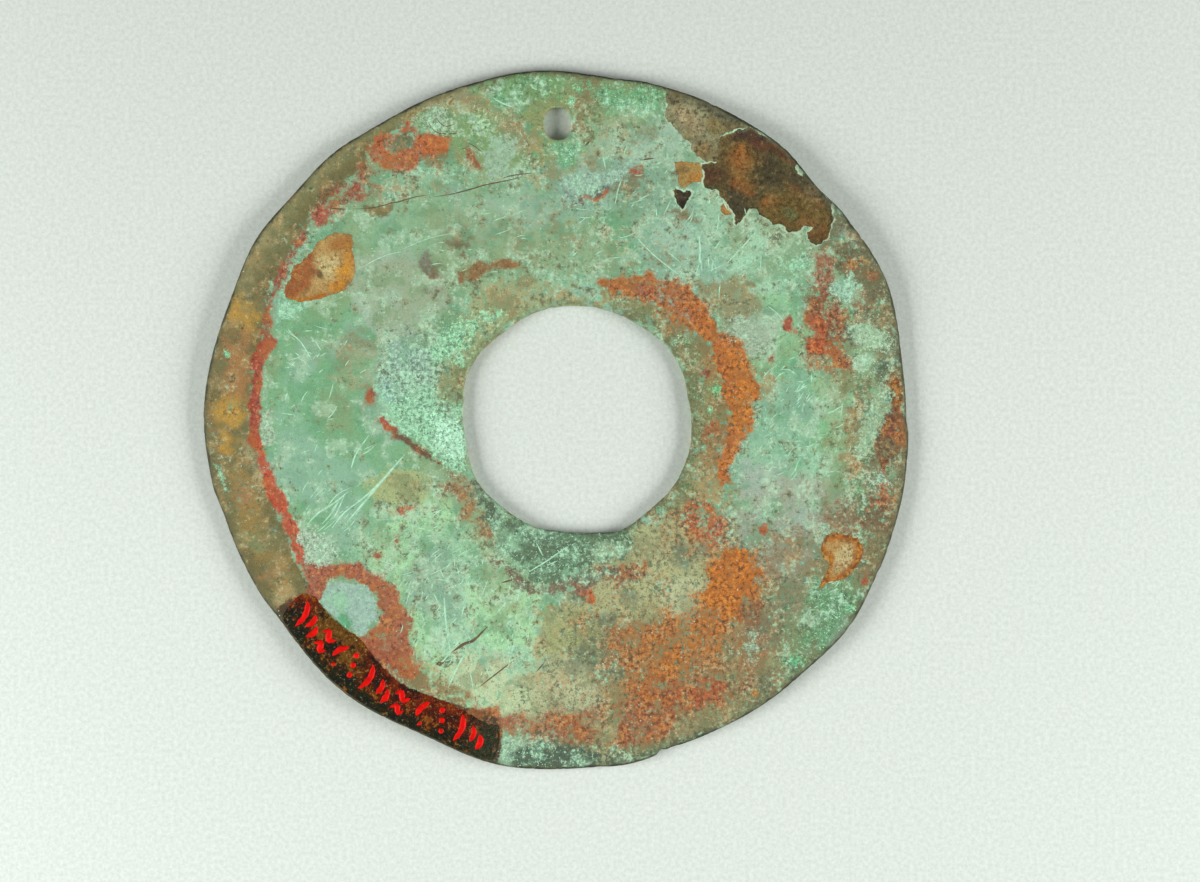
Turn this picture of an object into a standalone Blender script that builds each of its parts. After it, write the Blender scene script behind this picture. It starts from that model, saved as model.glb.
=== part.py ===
"""A gilt copper plaque: one flat disc of hammered copper sheet, with a large opening through
its middle and a small hanging hole near its top.

Metres, +Z up. The plaque lies face up on the surface z = 0, its hanging hole towards +Y. The
origin is on that surface, under the middle of the plaque's bounding box.
"""

import math

import bmesh
import bpy
from mathutils import Vector

# Driving dimensions, in metres
RIM_RADIUS = 0.050
SHEET_THICKNESS = 0.0012
EDGE_ROUNDING = 0.00025
OPENING_RADIUS = 0.01646
OPENING_SHIFT = Vector((0.0023, -0.0001))
HANGING_HOLE_WIDTH = 0.0039
HANGING_HOLE_HEIGHT = 0.0046
HANGING_HOLE_SHIFT = -0.0004
METAL_ABOVE_HANGING_HOLE = 0.0052

# The worn outlines, as (bearing in degrees, dent or bulge in thousandths of that outline's
# radius), at each place where the edge turns from one to the other. Bearings run anticlockwise
# from +X, the rim's about its own middle and the opening's about the opening's.
RIM_WEAR = [
    (0, -11), (7, -11), (24, 12), (36, -1), (42, -12), (51, 4), (65, -1), (75, -6), (81, -14),
    (95, -2), (106, -8), (121, -11), (131, 0), (139, -3), (150, 10), (159, 3), (180, 20),
    (190, 13), (197, -1), (209, -6), (216, -14), (231, -3), (246, -16), (261, 5), (274, 0),
    (281, 6), (285, 3), (287.5, -8), (312, 3), (325, 17), (334, 8), (345, 3), (357, -3),
]
OPENING_WEAR = [
    (0, -4), (10, -15), (25, 6), (40, 11), (50, -13), (62, -19), (85, -14), (110, -4),
    (130, -12), (150, 20), (160, 24), (172, -7), (190, -23), (212, 12), (232, -5), (248, -4),
    (264, -23), (278, -8), (291, 33), (310, 7), (328, 20), (345, 12),
]

# Where the sheet has sprung up a little from the flat: (bearing in degrees, rise in metres).
# Each lift is highest at the rim and dies away inwards.
LIFTS = [(38, 0.0008), (158, 0.0005), (236, 0.0007), (322, 0.0004)]
LIFT_SPREAD = math.radians(17)
LIFT_DEPTH = 0.42

SECTORS = 180
RINGS = 5
HANGING_HOLE_SIDES = 28
HANGING_HOLE_SQUARENESS = 2.5

PATINA = (0.42, 0.62, 0.50, 1.0)


def clear_scene():
    for thing in list(bpy.data.objects):
        bpy.data.objects.remove(thing, do_unlink=True)


def eased(share):
    return share * share * (3 - 2 * share)


def wear_at(bearing, stations):
    """How far a worn outline stands out of true at a bearing, as a share of its radius."""
    stations = sorted(stations)
    around = [(stations[-1][0] - 360, stations[-1][1])] + stations
    around.append((stations[0][0] + 360, stations[0][1]))
    for (before, low), (after, high) in zip(around, around[1:]):
        if before <= bearing <= after:
            share = (bearing - before) / (after - before)
            return (low + (high - low) * eased(share)) / 1000
    return 0.0


def worn_outline(radius, stations, shift=Vector((0, 0))):
    """The points of a round outline with its dents and bulges, one for each sector."""
    points = []
    for sector in range(SECTORS):
        bearing = 360 * sector / SECTORS
        reach = radius * (1 + wear_at(bearing, stations))
        turn = math.radians(bearing)
        points.append(Vector((math.cos(turn), math.sin(turn))) * reach + shift)
    return points


def rim_middle():
    """The middle of the rim's bounding box, which the model's origin lies under."""
    rim = worn_outline(RIM_RADIUS, RIM_WEAR)
    xs = [p.x for p in rim]
    ys = [p.y for p in rim]
    return Vector(((min(xs) + max(xs)) / 2, (min(ys) + max(ys)) / 2))


def lift_at(bearing, outwards):
    """How far the sheet stands off the flat; outwards is 0 at the opening and 1 at the rim."""
    inner = max(0.0, (outwards - LIFT_DEPTH) / (1 - LIFT_DEPTH))
    rise = 0.0
    for centre, height in LIFTS:
        away = math.radians((bearing - centre + 180) % 360 - 180)
        near = max(0.0, 1 - abs(away) / (2 * LIFT_SPREAD))
        rise += height * eased(near) * inner * inner
    return rise


def section_of_sheet(span):
    """The sheet's section from the opening to the rim, as (distance out, height) in metres,
    round its underside first and back over its face, with both edges worn round."""
    soft = min(EDGE_ROUNDING, SHEET_THICKNESS / 3)
    flat = [soft + (span - 2 * soft) * ring / RINGS for ring in range(RINGS + 1)]
    underside = [(out, 0.0) for out in flat]
    face = [(out, SHEET_THICKNESS) for out in reversed(flat)]
    rim_wall = [(span, soft), (span, SHEET_THICKNESS - soft)]
    opening_wall = [(0.0, SHEET_THICKNESS - soft), (0.0, soft)]
    return underside + rim_wall + face + opening_wall


def plaque_sheet():
    """The hammered disc, before its hanging hole is punched."""
    middle = rim_middle()
    opening = worn_outline(OPENING_RADIUS, OPENING_WEAR, OPENING_SHIFT - middle)
    rim = worn_outline(RIM_RADIUS, RIM_WEAR, -middle)
    shape = bmesh.new()
    sections = []
    for sector, (inner, outer) in enumerate(zip(opening, rim)):
        bearing = 360 * sector / SECTORS
        span = (outer - inner).length
        ring = []
        for out, height in section_of_sheet(span):
            place = inner.lerp(outer, out / span)
            rise = lift_at(bearing, out / span)
            ring.append(shape.verts.new((place.x, place.y, height + rise)))
        sections.append(ring)
    for here, ahead in zip(sections, sections[1:] + sections[:1]):
        for step in range(len(here)):
            after = (step + 1) % len(here)
            shape.faces.new((here[step], here[after], ahead[after], ahead[step]))
    bmesh.ops.recalc_face_normals(shape, faces=shape.faces)
    return object_from(shape, "plaque")


def hanging_hole_cutter():
    """The punch for the hanging hole: a slightly squared oval, which passes the sheet by the
    sheet's own thickness on both sides."""
    half_width, half_height = HANGING_HOLE_WIDTH / 2, HANGING_HOLE_HEIGHT / 2
    rim_above = RIM_RADIUS * (1 + wear_at(90, RIM_WEAR))
    hole_top = rim_above - METAL_ABOVE_HANGING_HOLE
    centre = Vector((HANGING_HOLE_SHIFT, hole_top - half_height)) - rim_middle()
    power = 2 / HANGING_HOLE_SQUARENESS
    shape = bmesh.new()
    corners = []
    for side in range(HANGING_HOLE_SIDES):
        turn = 2 * math.pi * side / HANGING_HOLE_SIDES
        across, up = math.cos(turn), math.sin(turn)
        x = centre.x + half_width * math.copysign(abs(across) ** power, across)
        y = centre.y + half_height * math.copysign(abs(up) ** power, up)
        corners.append(shape.verts.new((x, y, -SHEET_THICKNESS)))
    outline = shape.faces.new(corners)
    top = bmesh.ops.extrude_face_region(shape, geom=[outline])
    raised = [part for part in top["geom"] if isinstance(part, bmesh.types.BMVert)]
    bmesh.ops.translate(shape, verts=raised, vec=(0, 0, 3 * SHEET_THICKNESS))
    bmesh.ops.recalc_face_normals(shape, faces=shape.faces)
    cutter = object_from(shape, "hanging_hole_cutter")
    cutter.hide_render = True
    cutter.display_type = "WIRE"
    return cutter


def object_from(shape, name):
    mesh = bpy.data.meshes.new(name)
    shape.to_mesh(mesh)
    shape.free()
    thing = bpy.data.objects.new(name, mesh)
    bpy.context.scene.collection.objects.link(thing)
    return thing


def corroded_copper():
    material = bpy.data.materials.new("corroded_copper")
    material.use_nodes = True
    shader = material.node_tree.nodes["Principled BSDF"]
    shader.inputs["Base Color"].default_value = PATINA
    shader.inputs["Roughness"].default_value = 0.7
    shader.inputs["Metallic"].default_value = 0.1
    return material


def main():
    clear_scene()
    plaque = plaque_sheet()
    punch = plaque.modifiers.new("hanging_hole", "BOOLEAN")
    punch.object = hanging_hole_cutter()
    punch.operation = "DIFFERENCE"
    plaque.data.materials.append(corroded_copper())
    plaque.data.shade_smooth()
    plaque.data.set_sharp_from_angle(angle=math.radians(35))


main()
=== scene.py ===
# %% [markdown]
# # A gilt copper plaque
# The object is one disc of hammered copper sheet, about 100 mm across, with a wide opening in
# its middle and a small hanging hole near its top. Long burial has covered it with green,
# tan, red and orange corrosion, and one flake has come away and shows the bare metal.
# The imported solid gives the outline, the thickness and the few places where the sheet has
# sprung up. This file dresses it, and measures everything that it needs from that solid.

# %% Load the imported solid
import math

import bmesh
import bpy
import numpy as np
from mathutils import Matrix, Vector, noise
from mathutils.bvhtree import BVHTree
from types import SimpleNamespace


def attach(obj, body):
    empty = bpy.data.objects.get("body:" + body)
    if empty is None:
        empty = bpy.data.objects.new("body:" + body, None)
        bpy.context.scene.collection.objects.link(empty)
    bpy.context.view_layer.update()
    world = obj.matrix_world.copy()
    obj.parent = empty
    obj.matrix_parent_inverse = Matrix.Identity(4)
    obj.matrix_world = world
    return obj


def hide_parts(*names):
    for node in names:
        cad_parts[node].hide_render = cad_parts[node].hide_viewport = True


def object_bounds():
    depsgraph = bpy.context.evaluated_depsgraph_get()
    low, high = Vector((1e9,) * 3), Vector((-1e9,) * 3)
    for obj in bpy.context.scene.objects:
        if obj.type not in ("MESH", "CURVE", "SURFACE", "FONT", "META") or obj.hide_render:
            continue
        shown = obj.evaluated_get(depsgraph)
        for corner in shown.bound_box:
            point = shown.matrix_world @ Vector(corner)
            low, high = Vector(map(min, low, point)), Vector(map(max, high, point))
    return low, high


MM = 0.001
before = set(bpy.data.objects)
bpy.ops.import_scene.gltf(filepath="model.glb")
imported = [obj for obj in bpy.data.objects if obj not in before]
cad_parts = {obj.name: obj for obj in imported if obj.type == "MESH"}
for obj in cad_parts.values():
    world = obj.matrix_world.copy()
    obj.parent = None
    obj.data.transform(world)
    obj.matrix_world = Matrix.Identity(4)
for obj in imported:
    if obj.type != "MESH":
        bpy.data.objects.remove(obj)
cad_box = [list(corner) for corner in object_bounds()]
print("Box of the solid, mm:", [[round(value / MM, 2) for value in corner] for corner in cad_box])

# %% [markdown]
# ## From the picture to the metal
# The picture looks straight down on the plaque, so a point in it and a place on the metal
# differ only by a scale and a shift. Everything that is placed in the picture goes through one helper,
# and the camera below uses the same two values, so the two can't drift apart.

# %% Picture scale
IMAGE_WIDTH, IMAGE_HEIGHT = 1200, 882
PIXELS_PER_MM = 7.0
PLAQUE_MIDDLE_SEEN = (556.0, 419.9)


def seen(points):
    """Places on the metal, in mm, of points in the picture's pixels: a list, or "x,y x,y"."""
    if isinstance(points, str):
        points = [pair.split(",") for pair in points.split()]
    points = np.atleast_2d(np.array(points, float))
    across = (points[:, 0] - PLAQUE_MIDDLE_SEEN[0]) / PIXELS_PER_MM
    up = (PLAQUE_MIDDLE_SEEN[1] - points[:, 1]) / PIXELS_PER_MM
    return np.column_stack((across, up))


# %% [markdown]
# ## Camera
# A long lens from 0.6 m shows a thin disc almost without perspective. Its focal length comes
# from the width of metal that the picture takes in at the height of the plaque's face.

# %% Camera
CAMERA_HEIGHT = 0.60
SENSOR_WIDTH = 36.0
FACE_HEIGHT = 0.0012


def placed(name, data):
    """A new object in the scene."""
    thing = bpy.data.objects.new(name, data)
    bpy.context.scene.collection.objects.link(thing)
    return thing


picture_width = IMAGE_WIDTH / PIXELS_PER_MM * MM
picture_middle = seen([(IMAGE_WIDTH / 2, IMAGE_HEIGHT / 2)])[0] * MM
camera_data = bpy.data.cameras.new("camera")
camera_data.sensor_width = SENSOR_WIDTH
camera_data.lens = SENSOR_WIDTH * (CAMERA_HEIGHT - FACE_HEIGHT) / picture_width
camera_data.clip_start = 0.01
camera = placed("camera", camera_data)
camera.location = (*picture_middle, CAMERA_HEIGHT)
bpy.context.scene.camera = camera
print("Lens, mm:", round(camera_data.lens, 1))

# %% [markdown]
# ## Colours and small node helpers
# Colours are written as they look on a screen, from 0 to 255, and a helper turns them into the
# linear values that a shader works with. A few more helpers add a node, a sum, a mix or a noise,
# so that a material below reads as a list of what lies on what.

# %% Helpers for colours and nodes
NOISE_REACH = 3.0


def paint(red, green, blue):
    """A screen colour, 0 to 255 each, as linear values for a shader."""
    shares = np.array([red, green, blue]) / 255
    return np.where(shares <= 0.04045, shares / 12.92, ((shares + 0.055) / 1.055) ** 2.4)


def feed(tree, node, inputs):
    """Sets inputs of a node, each by a plain value or by the socket that feeds it."""
    for socket, value in inputs.items():
        if isinstance(value, bpy.types.NodeSocket):
            tree.links.new(value, node.inputs[socket])
        else:
            node.inputs[socket].default_value = value


def add(tree, kind, inputs=None, **settings):
    """A new node with its settings and inputs."""
    node = tree.nodes.new(kind)
    for name, value in settings.items():
        setattr(node, name, value)
    feed(tree, node, inputs or {})
    return node


def sums(tree, operation, *numbers):
    """One sum on numbers; returns its result."""
    return add(tree, "ShaderNodeMath", dict(enumerate(numbers)), operation=operation).outputs[0]


def times(tree, first, second):
    return sums(tree, "MULTIPLY", first, second)


def plus(tree, base, extra, much=1.0):
    """The base with some of another number added: base + extra x much."""
    return sums(tree, "MULTIPLY_ADD", extra, much, base)


def mixed(tree, share, below, above):
    """The colour above laid over the colour below, as far as share says."""
    inputs = {0: share}
    for socket, colour in ((6, below), (7, above)):
        inputs[socket] = colour if isinstance(colour, bpy.types.NodeSocket) else (*colour, 1.0)
    return add(tree, "ShaderNodeMix", inputs, data_type="RGBA").outputs[2]


def scaled(tree, colour, by):
    return add(tree, "ShaderNodeVectorMath", {0: colour, "Scale": by}, operation="SCALE").outputs[0]


def ramped(tree, value, low, high):
    """0 below low, 1 above high, and eased in between."""
    node = add(tree, "ShaderNodeMapRange", {0: value, 1: low, 2: high}, interpolation_type="SMOOTHSTEP")
    return node.outputs[0]


def speckle(tree, place, scale, detail=3.0, roughness=0.6, seed=0.0):
    """Noise about 0, mostly between -1 and 1; scale is in grains a millimetre."""
    moved = add(tree, "ShaderNodeVectorMath", {0: place, 1: (seed, seed / 3, 0.0)}, operation="ADD")
    inputs = {"Vector": moved.outputs[0], "Scale": scale, "Detail": detail, "Roughness": roughness}
    grain = add(tree, "ShaderNodeTexNoise", inputs, noise_dimensions="2D").outputs["Fac"]
    return plus(tree, -NOISE_REACH, grain, 2 * NOISE_REACH)


def bumps(tree, height, strength, depth):
    """Fine bumps for a shader's Normal; depth is in mm."""
    inputs = {"Strength": strength, "Distance": depth * MM, "Height": height}
    return add(tree, "ShaderNodeBump", inputs).outputs[0]


def new_material(name):
    """An empty material: its tree, its shader and its places in mm, which ride on the piece."""
    material = bpy.data.materials.new(name)
    material.use_nodes = True
    tree = material.node_tree
    shader = tree.nodes["Principled BSDF"]
    where = add(tree, "ShaderNodeTexCoord").outputs["Object"]
    mapping = add(tree, "ShaderNodeMapping", {"Vector": where, "Scale": (1 / MM, 1 / MM, 1 / MM)})
    return material, tree, shader, mapping.outputs[0]


# %% [markdown]
# ## Floor and light
# The floor is a plain pale paper, with painted shade that darkens it a little towards the top of
# the picture. Two wide, low lamps stand left and right, as on a copy stand: they leave soft shadows
# along both sides of the rim and in the opening. An even white world fills the rest. Together they
# light a flat face so that a surface shows about the colour that its material is given.

# %% Floor
FLOOR_SIDE = 3.0
FLOOR_COLOUR = paint(213, 221, 212)
FLOOR_FADES = 65.0
FLOOR_NEAR, FLOOR_FAR = 1.04, 0.93


def make_floor():
    mesh = bpy.data.meshes.new("floor")
    reach = FLOOR_SIDE / 2
    corners = [(-reach, -reach, 0), (reach, -reach, 0), (reach, reach, 0), (-reach, reach, 0)]
    mesh.from_pydata(corners, [], [(0, 1, 2, 3)])
    floor = placed("floor", mesh)
    material, tree, shader, place = new_material("paper")
    fibre = speckle(tree, place, 1.7, 4.0, 0.75)
    up = add(tree, "ShaderNodeSeparateXYZ", {0: place}).outputs[1]
    # Painted shade: the paper's colour is scaled down towards the top of the picture, standing in for the
    # light falling off there.
    shade_range = {0: up, 1: -FLOOR_FADES, 2: FLOOR_FADES, 3: FLOOR_NEAR, 4: FLOOR_FAR}
    painted_falloff = add(tree, "ShaderNodeMapRange", shade_range).outputs[0]
    shade = times(tree, plus(tree, 1.0, fibre, 0.08), painted_falloff)
    colour = scaled(tree, tuple(FLOOR_COLOUR), shade)
    feed(tree, shader, {"Base Color": colour, "Roughness": 0.9, "Specular IOR Level": 0.2})
    mesh.materials.append(material)


make_floor()

# %% Lamps and world
LAMP_RISE = 0.21
LAMP_SIZE = (0.40, 0.26)
LAMPS = {"left": (-0.50, -0.14, 4.6), "right": (0.58, -0.08, 5.5)}
WORLD_LIGHT = 0.15


def make_lamp(name, across, forward, power):
    lamp_data = bpy.data.lights.new(name, "AREA")
    lamp_data.shape = "RECTANGLE"
    lamp_data.size, lamp_data.size_y = LAMP_SIZE
    lamp_data.energy = power
    lamp = placed(name, lamp_data)
    lamp.location = (across, forward, LAMP_RISE)
    lamp.rotation_euler = (-Vector(lamp.location)).to_track_quat("-Z", "Y").to_euler()


for name, (across, forward, power) in LAMPS.items():
    make_lamp(name + "_lamp", across, forward, power)

world = bpy.data.worlds.new("soft_room")
world.use_nodes = True
background = world.node_tree.nodes["Background"]
feed(world.node_tree, background, {"Color": (1.0, 1.0, 1.0, 1.0), "Strength": WORLD_LIGHT})
bpy.context.scene.world = world
bpy.context.scene.view_settings.view_transform = "Standard"

# %% [markdown]
# ## The plaque's outlines
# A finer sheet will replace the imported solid, so it has to keep that solid's edges. The upright
# faces of the solid are its edges: the rim, the opening and the hanging hole. Sorting their
# corners by bearing gives three closed loops, and a smooth curve through each loop can be read
# at any number of points.

# %% Read the edges of the solid
plaque_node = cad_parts["plaque"]
UPRIGHT = 0.2
OPENING_WITHIN = 25.0
RIM_BEYOND = 46.5


def edge_corners(node):
    """Corners of the node's upright faces, in mm."""
    mesh = node.data
    corners = np.zeros(len(mesh.vertices) * 3)
    mesh.vertices.foreach_get("co", corners)
    normals = np.zeros(len(mesh.polygons) * 3)
    mesh.polygons.foreach_get("normal", normals)
    triangles = np.zeros(len(mesh.loops), int)
    mesh.loops.foreach_get("vertex_index", triangles)
    upright = np.abs(normals.reshape(-1, 3)[:, 2]) < UPRIGHT
    used = np.unique(triangles.reshape(-1, 3)[upright])
    return corners.reshape(-1, 3)[used] / MM


FULL_TURN = 2 * math.pi


def loop_of(corners):
    """The corners as one loop, anticlockwise from +X: one for each place, the lowest there."""
    lowest = {}
    for x, y, z in corners:
        key = (round(x, 2), round(y, 2))
        if key not in lowest or z < lowest[key][2]:
            lowest[key] = (x, y, z)
    loop = np.array(list(lowest.values()))
    middle = (loop.min(0) + loop.max(0)) / 2
    bearing = np.arctan2(loop[:, 1] - middle[1], loop[:, 0] - middle[0]) % FULL_TURN
    loop = loop[np.argsort(bearing)]
    start = np.argmin(np.abs((np.sort(bearing) + math.pi) % FULL_TURN - math.pi))
    return np.roll(loop, -start, axis=0)


def curved(before, here, after, beyond, share):
    """A smooth curve between two points, with one more point on each side to bend it."""
    bend = 2 * before - 5 * here + 4 * after - beyond
    twist = 3 * here - before - 3 * after + beyond
    return 0.5 * (2 * here + (after - before) * share + bend * share**2 + twist * share**3)


def smooth_loop(points, count):
    """A closed smooth curve through the points, read at count places."""
    step = np.arange(count) * len(points) / count
    first = np.floor(step).astype(int)
    near = [points[(first + shift) % len(points)] for shift in (-1, 0, 1, 2)]
    return curved(*near, (step - first)[:, None])


corners = edge_corners(plaque_node)
away = np.hypot(corners[:, 0], corners[:, 1])
rim_loop = loop_of(corners[away > RIM_BEYOND])
opening_loop = loop_of(corners[away < OPENING_WITHIN])
hole_loop = loop_of(corners[(away > OPENING_WITHIN) & (away < RIM_BEYOND)])
print("Corners of rim, opening, hanging hole:", len(rim_loop), len(opening_loop), len(hole_loop))

# %% [markdown]
# ## Where the sheet has sprung up
# The lowest corners of the rim tell how high the sheet stands off the floor at each bearing.
# The rise dies away inwards as a square, as a thin sheet bends.

# %% Bearings, reach and rise
BEND_STARTS = 0.42


def polar(places):
    return np.hypot(places[:, 0], places[:, 1]), np.arctan2(places[:, 1], places[:, 0]) % FULL_TURN


def around(loop, bearings, values):
    """Values given at a loop's corners, read at other bearings."""
    own = polar(loop)[1]
    order = np.argsort(own)
    return np.interp(bearings, own[order], values[order], period=FULL_TURN)


def outwards(places):
    """0 at the opening's edge and 1 at the rim."""
    away, bearings = polar(places)
    inner = around(opening_loop, bearings, polar(opening_loop)[0])
    outer = around(rim_loop, bearings, polar(rim_loop)[0])
    return (away - inner) / (outer - inner)


def rise(places):
    """How far the sheet stands off the floor, in mm."""
    at_rim = around(rim_loop, polar(places)[1], rim_loop[:, 2] - rim_loop[:, 2].min())
    return at_rim * np.clip((outwards(places) - BEND_STARTS) / (1 - BEND_STARTS), 0, 1) ** 2


THICKNESS = FACE_HEIGHT / MM
print("Highest rise of the rim, mm:", round(float(rise(rim_loop).max()), 2))

# %% [markdown]
# ## Drawing on the metal
# Stains, crusts and flakes are drawn as outlines, strokes and spots in the picture's
# pixels. Each shape answers one question: how deep inside it does a place lie, in mm, with a
# minus outside? From that depth come soft and hard edges alike. Before the question is put,
# the places are pushed about by noise, so that no edge stays as smooth as it was drawn.
# An outline or a stroke is written as "x,y x,y", like the points of a drawing on a web page.

# %% Curves and distances
TINY = 0.000001


def eased(share):
    share = np.clip(share, 0, 1)
    return share * share * (3 - 2 * share)


def smooth_line(points, count):
    """An open smooth curve through the points."""
    points = np.array(points, float)
    padded = np.vstack((2 * points[0] - points[1], points, 2 * points[-1] - points[-2]))
    step = np.linspace(0, len(points) - 1 - TINY, count)
    first = np.floor(step).astype(int)
    near = [padded[first + shift] for shift in range(4)]
    return curved(*near, (step - first)[:, None])


def distance_to(places, starts, ends):
    """How far each place is from the nearest of some straight runs."""
    run = ends - starts
    length = np.maximum((run**2).sum(1), TINY**2)
    offset = places[:, None, :] - starts[None]
    along = np.clip((offset * run).sum(2) / length, 0, 1)
    return np.sqrt(((offset - along[..., None] * run) ** 2).sum(2)).min(1)


def is_inside(places, starts, ends):
    """Whether each place is inside a closed outline, by counting the sides to its right."""
    y = places[:, 1][:, None]
    spans = (starts[:, 1] > y) != (ends[:, 1] > y)
    run = ends - starts
    slope = run[:, 0] / np.where(run[:, 1] == 0, TINY, run[:, 1])
    crossing = starts[:, 0] + (y - starts[:, 1]) * slope
    return (spans & (places[:, 0][:, None] < crossing)).sum(1) % 2 == 1


# %% Patches, strokes and spots
FAR = -50.0
NEARBY = 5.0
SMOOTHING = 4


def near_to(places, line):
    low, high = line.min(0) - NEARBY, line.max(0) + NEARBY
    return np.all((places > low) & (places < high), axis=1)


def patch(places, outline, smooth=True):
    """Depth inside a closed outline."""
    line = seen(outline)
    if smooth:
        line = smooth_loop(line, SMOOTHING * len(line))
    depth = np.full(len(places), FAR)
    close = near_to(places, line)
    ends = np.roll(line, -1, axis=0)
    away = distance_to(places[close], line, ends)
    depth[close] = np.where(is_inside(places[close], line, ends), away, -away)
    return depth


def stroke(places, points, width):
    """Depth inside a brush stroke; its width is in pixels, one value or one at each point."""
    line = seen(points)
    widths = np.broadcast_to(np.array(width, float), (len(line),)) / PIXELS_PER_MM
    both = smooth_line(np.column_stack((line, widths)), SMOOTHING * len(line))
    line, widths = both[:, :2], both[:, 2]
    depth = np.full(len(places), FAR)
    close = near_to(places, line)
    found = places[close]
    best = np.full(len(found), FAR)
    for start, end, wide in zip(line[:-1], line[1:], widths):
        reach = wide / 2 - distance_to(found, start[None], end[None])
        best = np.maximum(best, reach)
    depth[close] = best
    return depth


def spot(places, x, y, across, up=None, turn=0.0):
    """Depth inside an oval; across and up are its half sizes in pixels, turn is in degrees."""
    offset = places - seen([(x, y)])
    angle = math.radians(turn)
    wide, high = across / PIXELS_PER_MM, (up or across) / PIXELS_PER_MM
    along = (offset[:, 0] * math.cos(angle) + offset[:, 1] * math.sin(angle)) / wide
    over = (offset[:, 1] * math.cos(angle) - offset[:, 0] * math.sin(angle)) / high
    return (1 - np.hypot(along, over)) * min(wide, high)


# %% [markdown]
# ## Crisp edges that the mesh has to follow
# Where a flake has come away the crust ends in a small cliff. These few outlines are needed
# twice: the mesh is made finer along them, and the relief and the colours step down there.

# %% Outlines of what has come away
BARE_METAL = (
    "721,137 729,134 742,130 749,127 758,134 769,139 781,146 793,158 801,166 806,175 817,189 829,201 "
    "832,208 834,217 830,230 827,239 817,245 810,241 807,234 813,226 806,225 797,232 790,232 782,225 "
    "773,224 768,218 760,216 756,209 751,208 747,213 740,223 735,224 734,215 731,206 721,197 719,191 "
    "705,188 703,171 702,164 716,162 719,152")
DARK_HEART = "672,190 679,189 683,193 688,190 692,193 686,202 683,209 678,206 676,198"
TAN_METAL = (
    "666,93 677,84 700,90 725,102 750,115 756,126 736,130 721,136 720,147 719,154 716,161 707,162 697,156 "
    "691,149 690,141 679,133 671,123 665,115 667,104")
GOLD_PATCH = (
    "336,233 351,235 353,241 352,250 355,267 354,276 347,287 338,293 318,299 301,302 296,300 286,298 "
    "286,287 291,276 297,265 310,254 318,243 327,237")
CREAM_PATCH = (
    "827,535 845,534 858,541 863,548 858,564 849,576 836,580 825,584 819,588 825,575 829,564 823,556 "
    "821,549")
OCHRE_SQUARE = "676,162 688,162 701,164 704,171 702,180 692,183 684,188 679,182 677,171"
CRISP_OUTLINES = [BARE_METAL, DARK_HEART, TAN_METAL, GOLD_PATCH, CREAM_PATCH, OCHRE_SQUARE]

# %% [markdown]
# ## The fine sheet
# A polar grid follows both edges of the disc, so no row of faces is cut by them. One section,
# from the opening to the rim and back, is laid at each bearing: few rings underneath, many on
# the face, and small arcs where the edges are worn round. Faces along the crisp outlines and
# the hanging hole are divided again, and then the hole is punched.

# %% Build the fine sheet
SECTORS = 720
FACE_RINGS = 84
UNDER_RINGS = 8
EDGE_ROUNDING = 0.32
ARC_STEPS = 3
FINER_WITHIN = 0.35
FINER_AT_HOLE = 0.8
FINER_CUTS = 3


def arc(start, end):
    turns = np.radians(np.linspace(start, end, ARC_STEPS + 1))
    return np.column_stack((np.cos(turns), np.sin(turns))) * EDGE_ROUNDING


def section():
    """The section as (place from 0 at the opening to 1 at the rim, shift outwards, height)."""
    soft = EDGE_ROUNDING
    rows = [(share, soft * (1 - 2 * share), 0.0) for share in np.linspace(0, 1, UNDER_RINGS + 1)]
    rows += [(1.0, dx - soft, soft + dz) for dx, dz in arc(-90, 0)[1:]]
    rows += [(1.0, dx - soft, THICKNESS - soft + dz) for dx, dz in arc(0, 90)]
    face = np.linspace(1, 0, FACE_RINGS + 1)[1:]
    rows += [(share, soft * (1 - 2 * share), THICKNESS) for share in face]
    rows += [(0.0, soft + dx, THICKNESS - soft + dz) for dx, dz in arc(90, 180)[1:]]
    rows += [(0.0, soft + dx, soft + dz) for dx, dz in arc(180, 270)[:-1]]
    return np.array(rows)


def sheet_grid():
    """Corners in mm and faces of the sheet before the hanging hole is punched."""
    rim = smooth_loop(rim_loop[:, :2], SECTORS)
    opening = smooth_loop(opening_loop[:, :2], SECTORS)
    rows = section()
    run = rim - opening
    unit = run / np.hypot(run[:, 0], run[:, 1])[:, None]
    flat = opening[:, None] + run[:, None] * rows[None, :, :1] + unit[:, None] * rows[None, :, 1:2]
    heights = np.broadcast_to(rows[None, :, 2:], (SECTORS, len(rows), 1))
    corners = np.concatenate((flat, heights), axis=2).reshape(-1, 3)
    count = len(rows)
    sector, row = np.meshgrid(np.arange(SECTORS), np.arange(count), indexing="ij")
    here, ahead = sector * count, (sector + 1) % SECTORS * count
    after = (row + 1) % count
    faces = np.stack((here + row, here + after, ahead + after, ahead + row), axis=2)
    return corners, faces.reshape(-1, 4)


def from_hole(places):
    """How far each place is from the edge of the hanging hole, in mm."""
    hole = smooth_loop(hole_loop[:, :2], 2 * len(hole_loop))
    return distance_to(places, hole, np.roll(hole, -1, axis=0))


def needs_finer(places):
    """Whether a place on the face is close to a crisp outline or to the hanging hole."""
    close = np.zeros(len(places), bool)
    for outline in CRISP_OUTLINES:
        close |= np.abs(patch(places, outline, smooth=False)) < FINER_WITHIN
    return close | (from_hole(places) < FINER_AT_HOLE)


def turned_outward(shape, mesh):
    """Writes a shape to a mesh, with every face outward."""
    bmesh.ops.recalc_face_normals(shape, faces=shape.faces)
    shape.to_mesh(mesh)
    shape.free()


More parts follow.
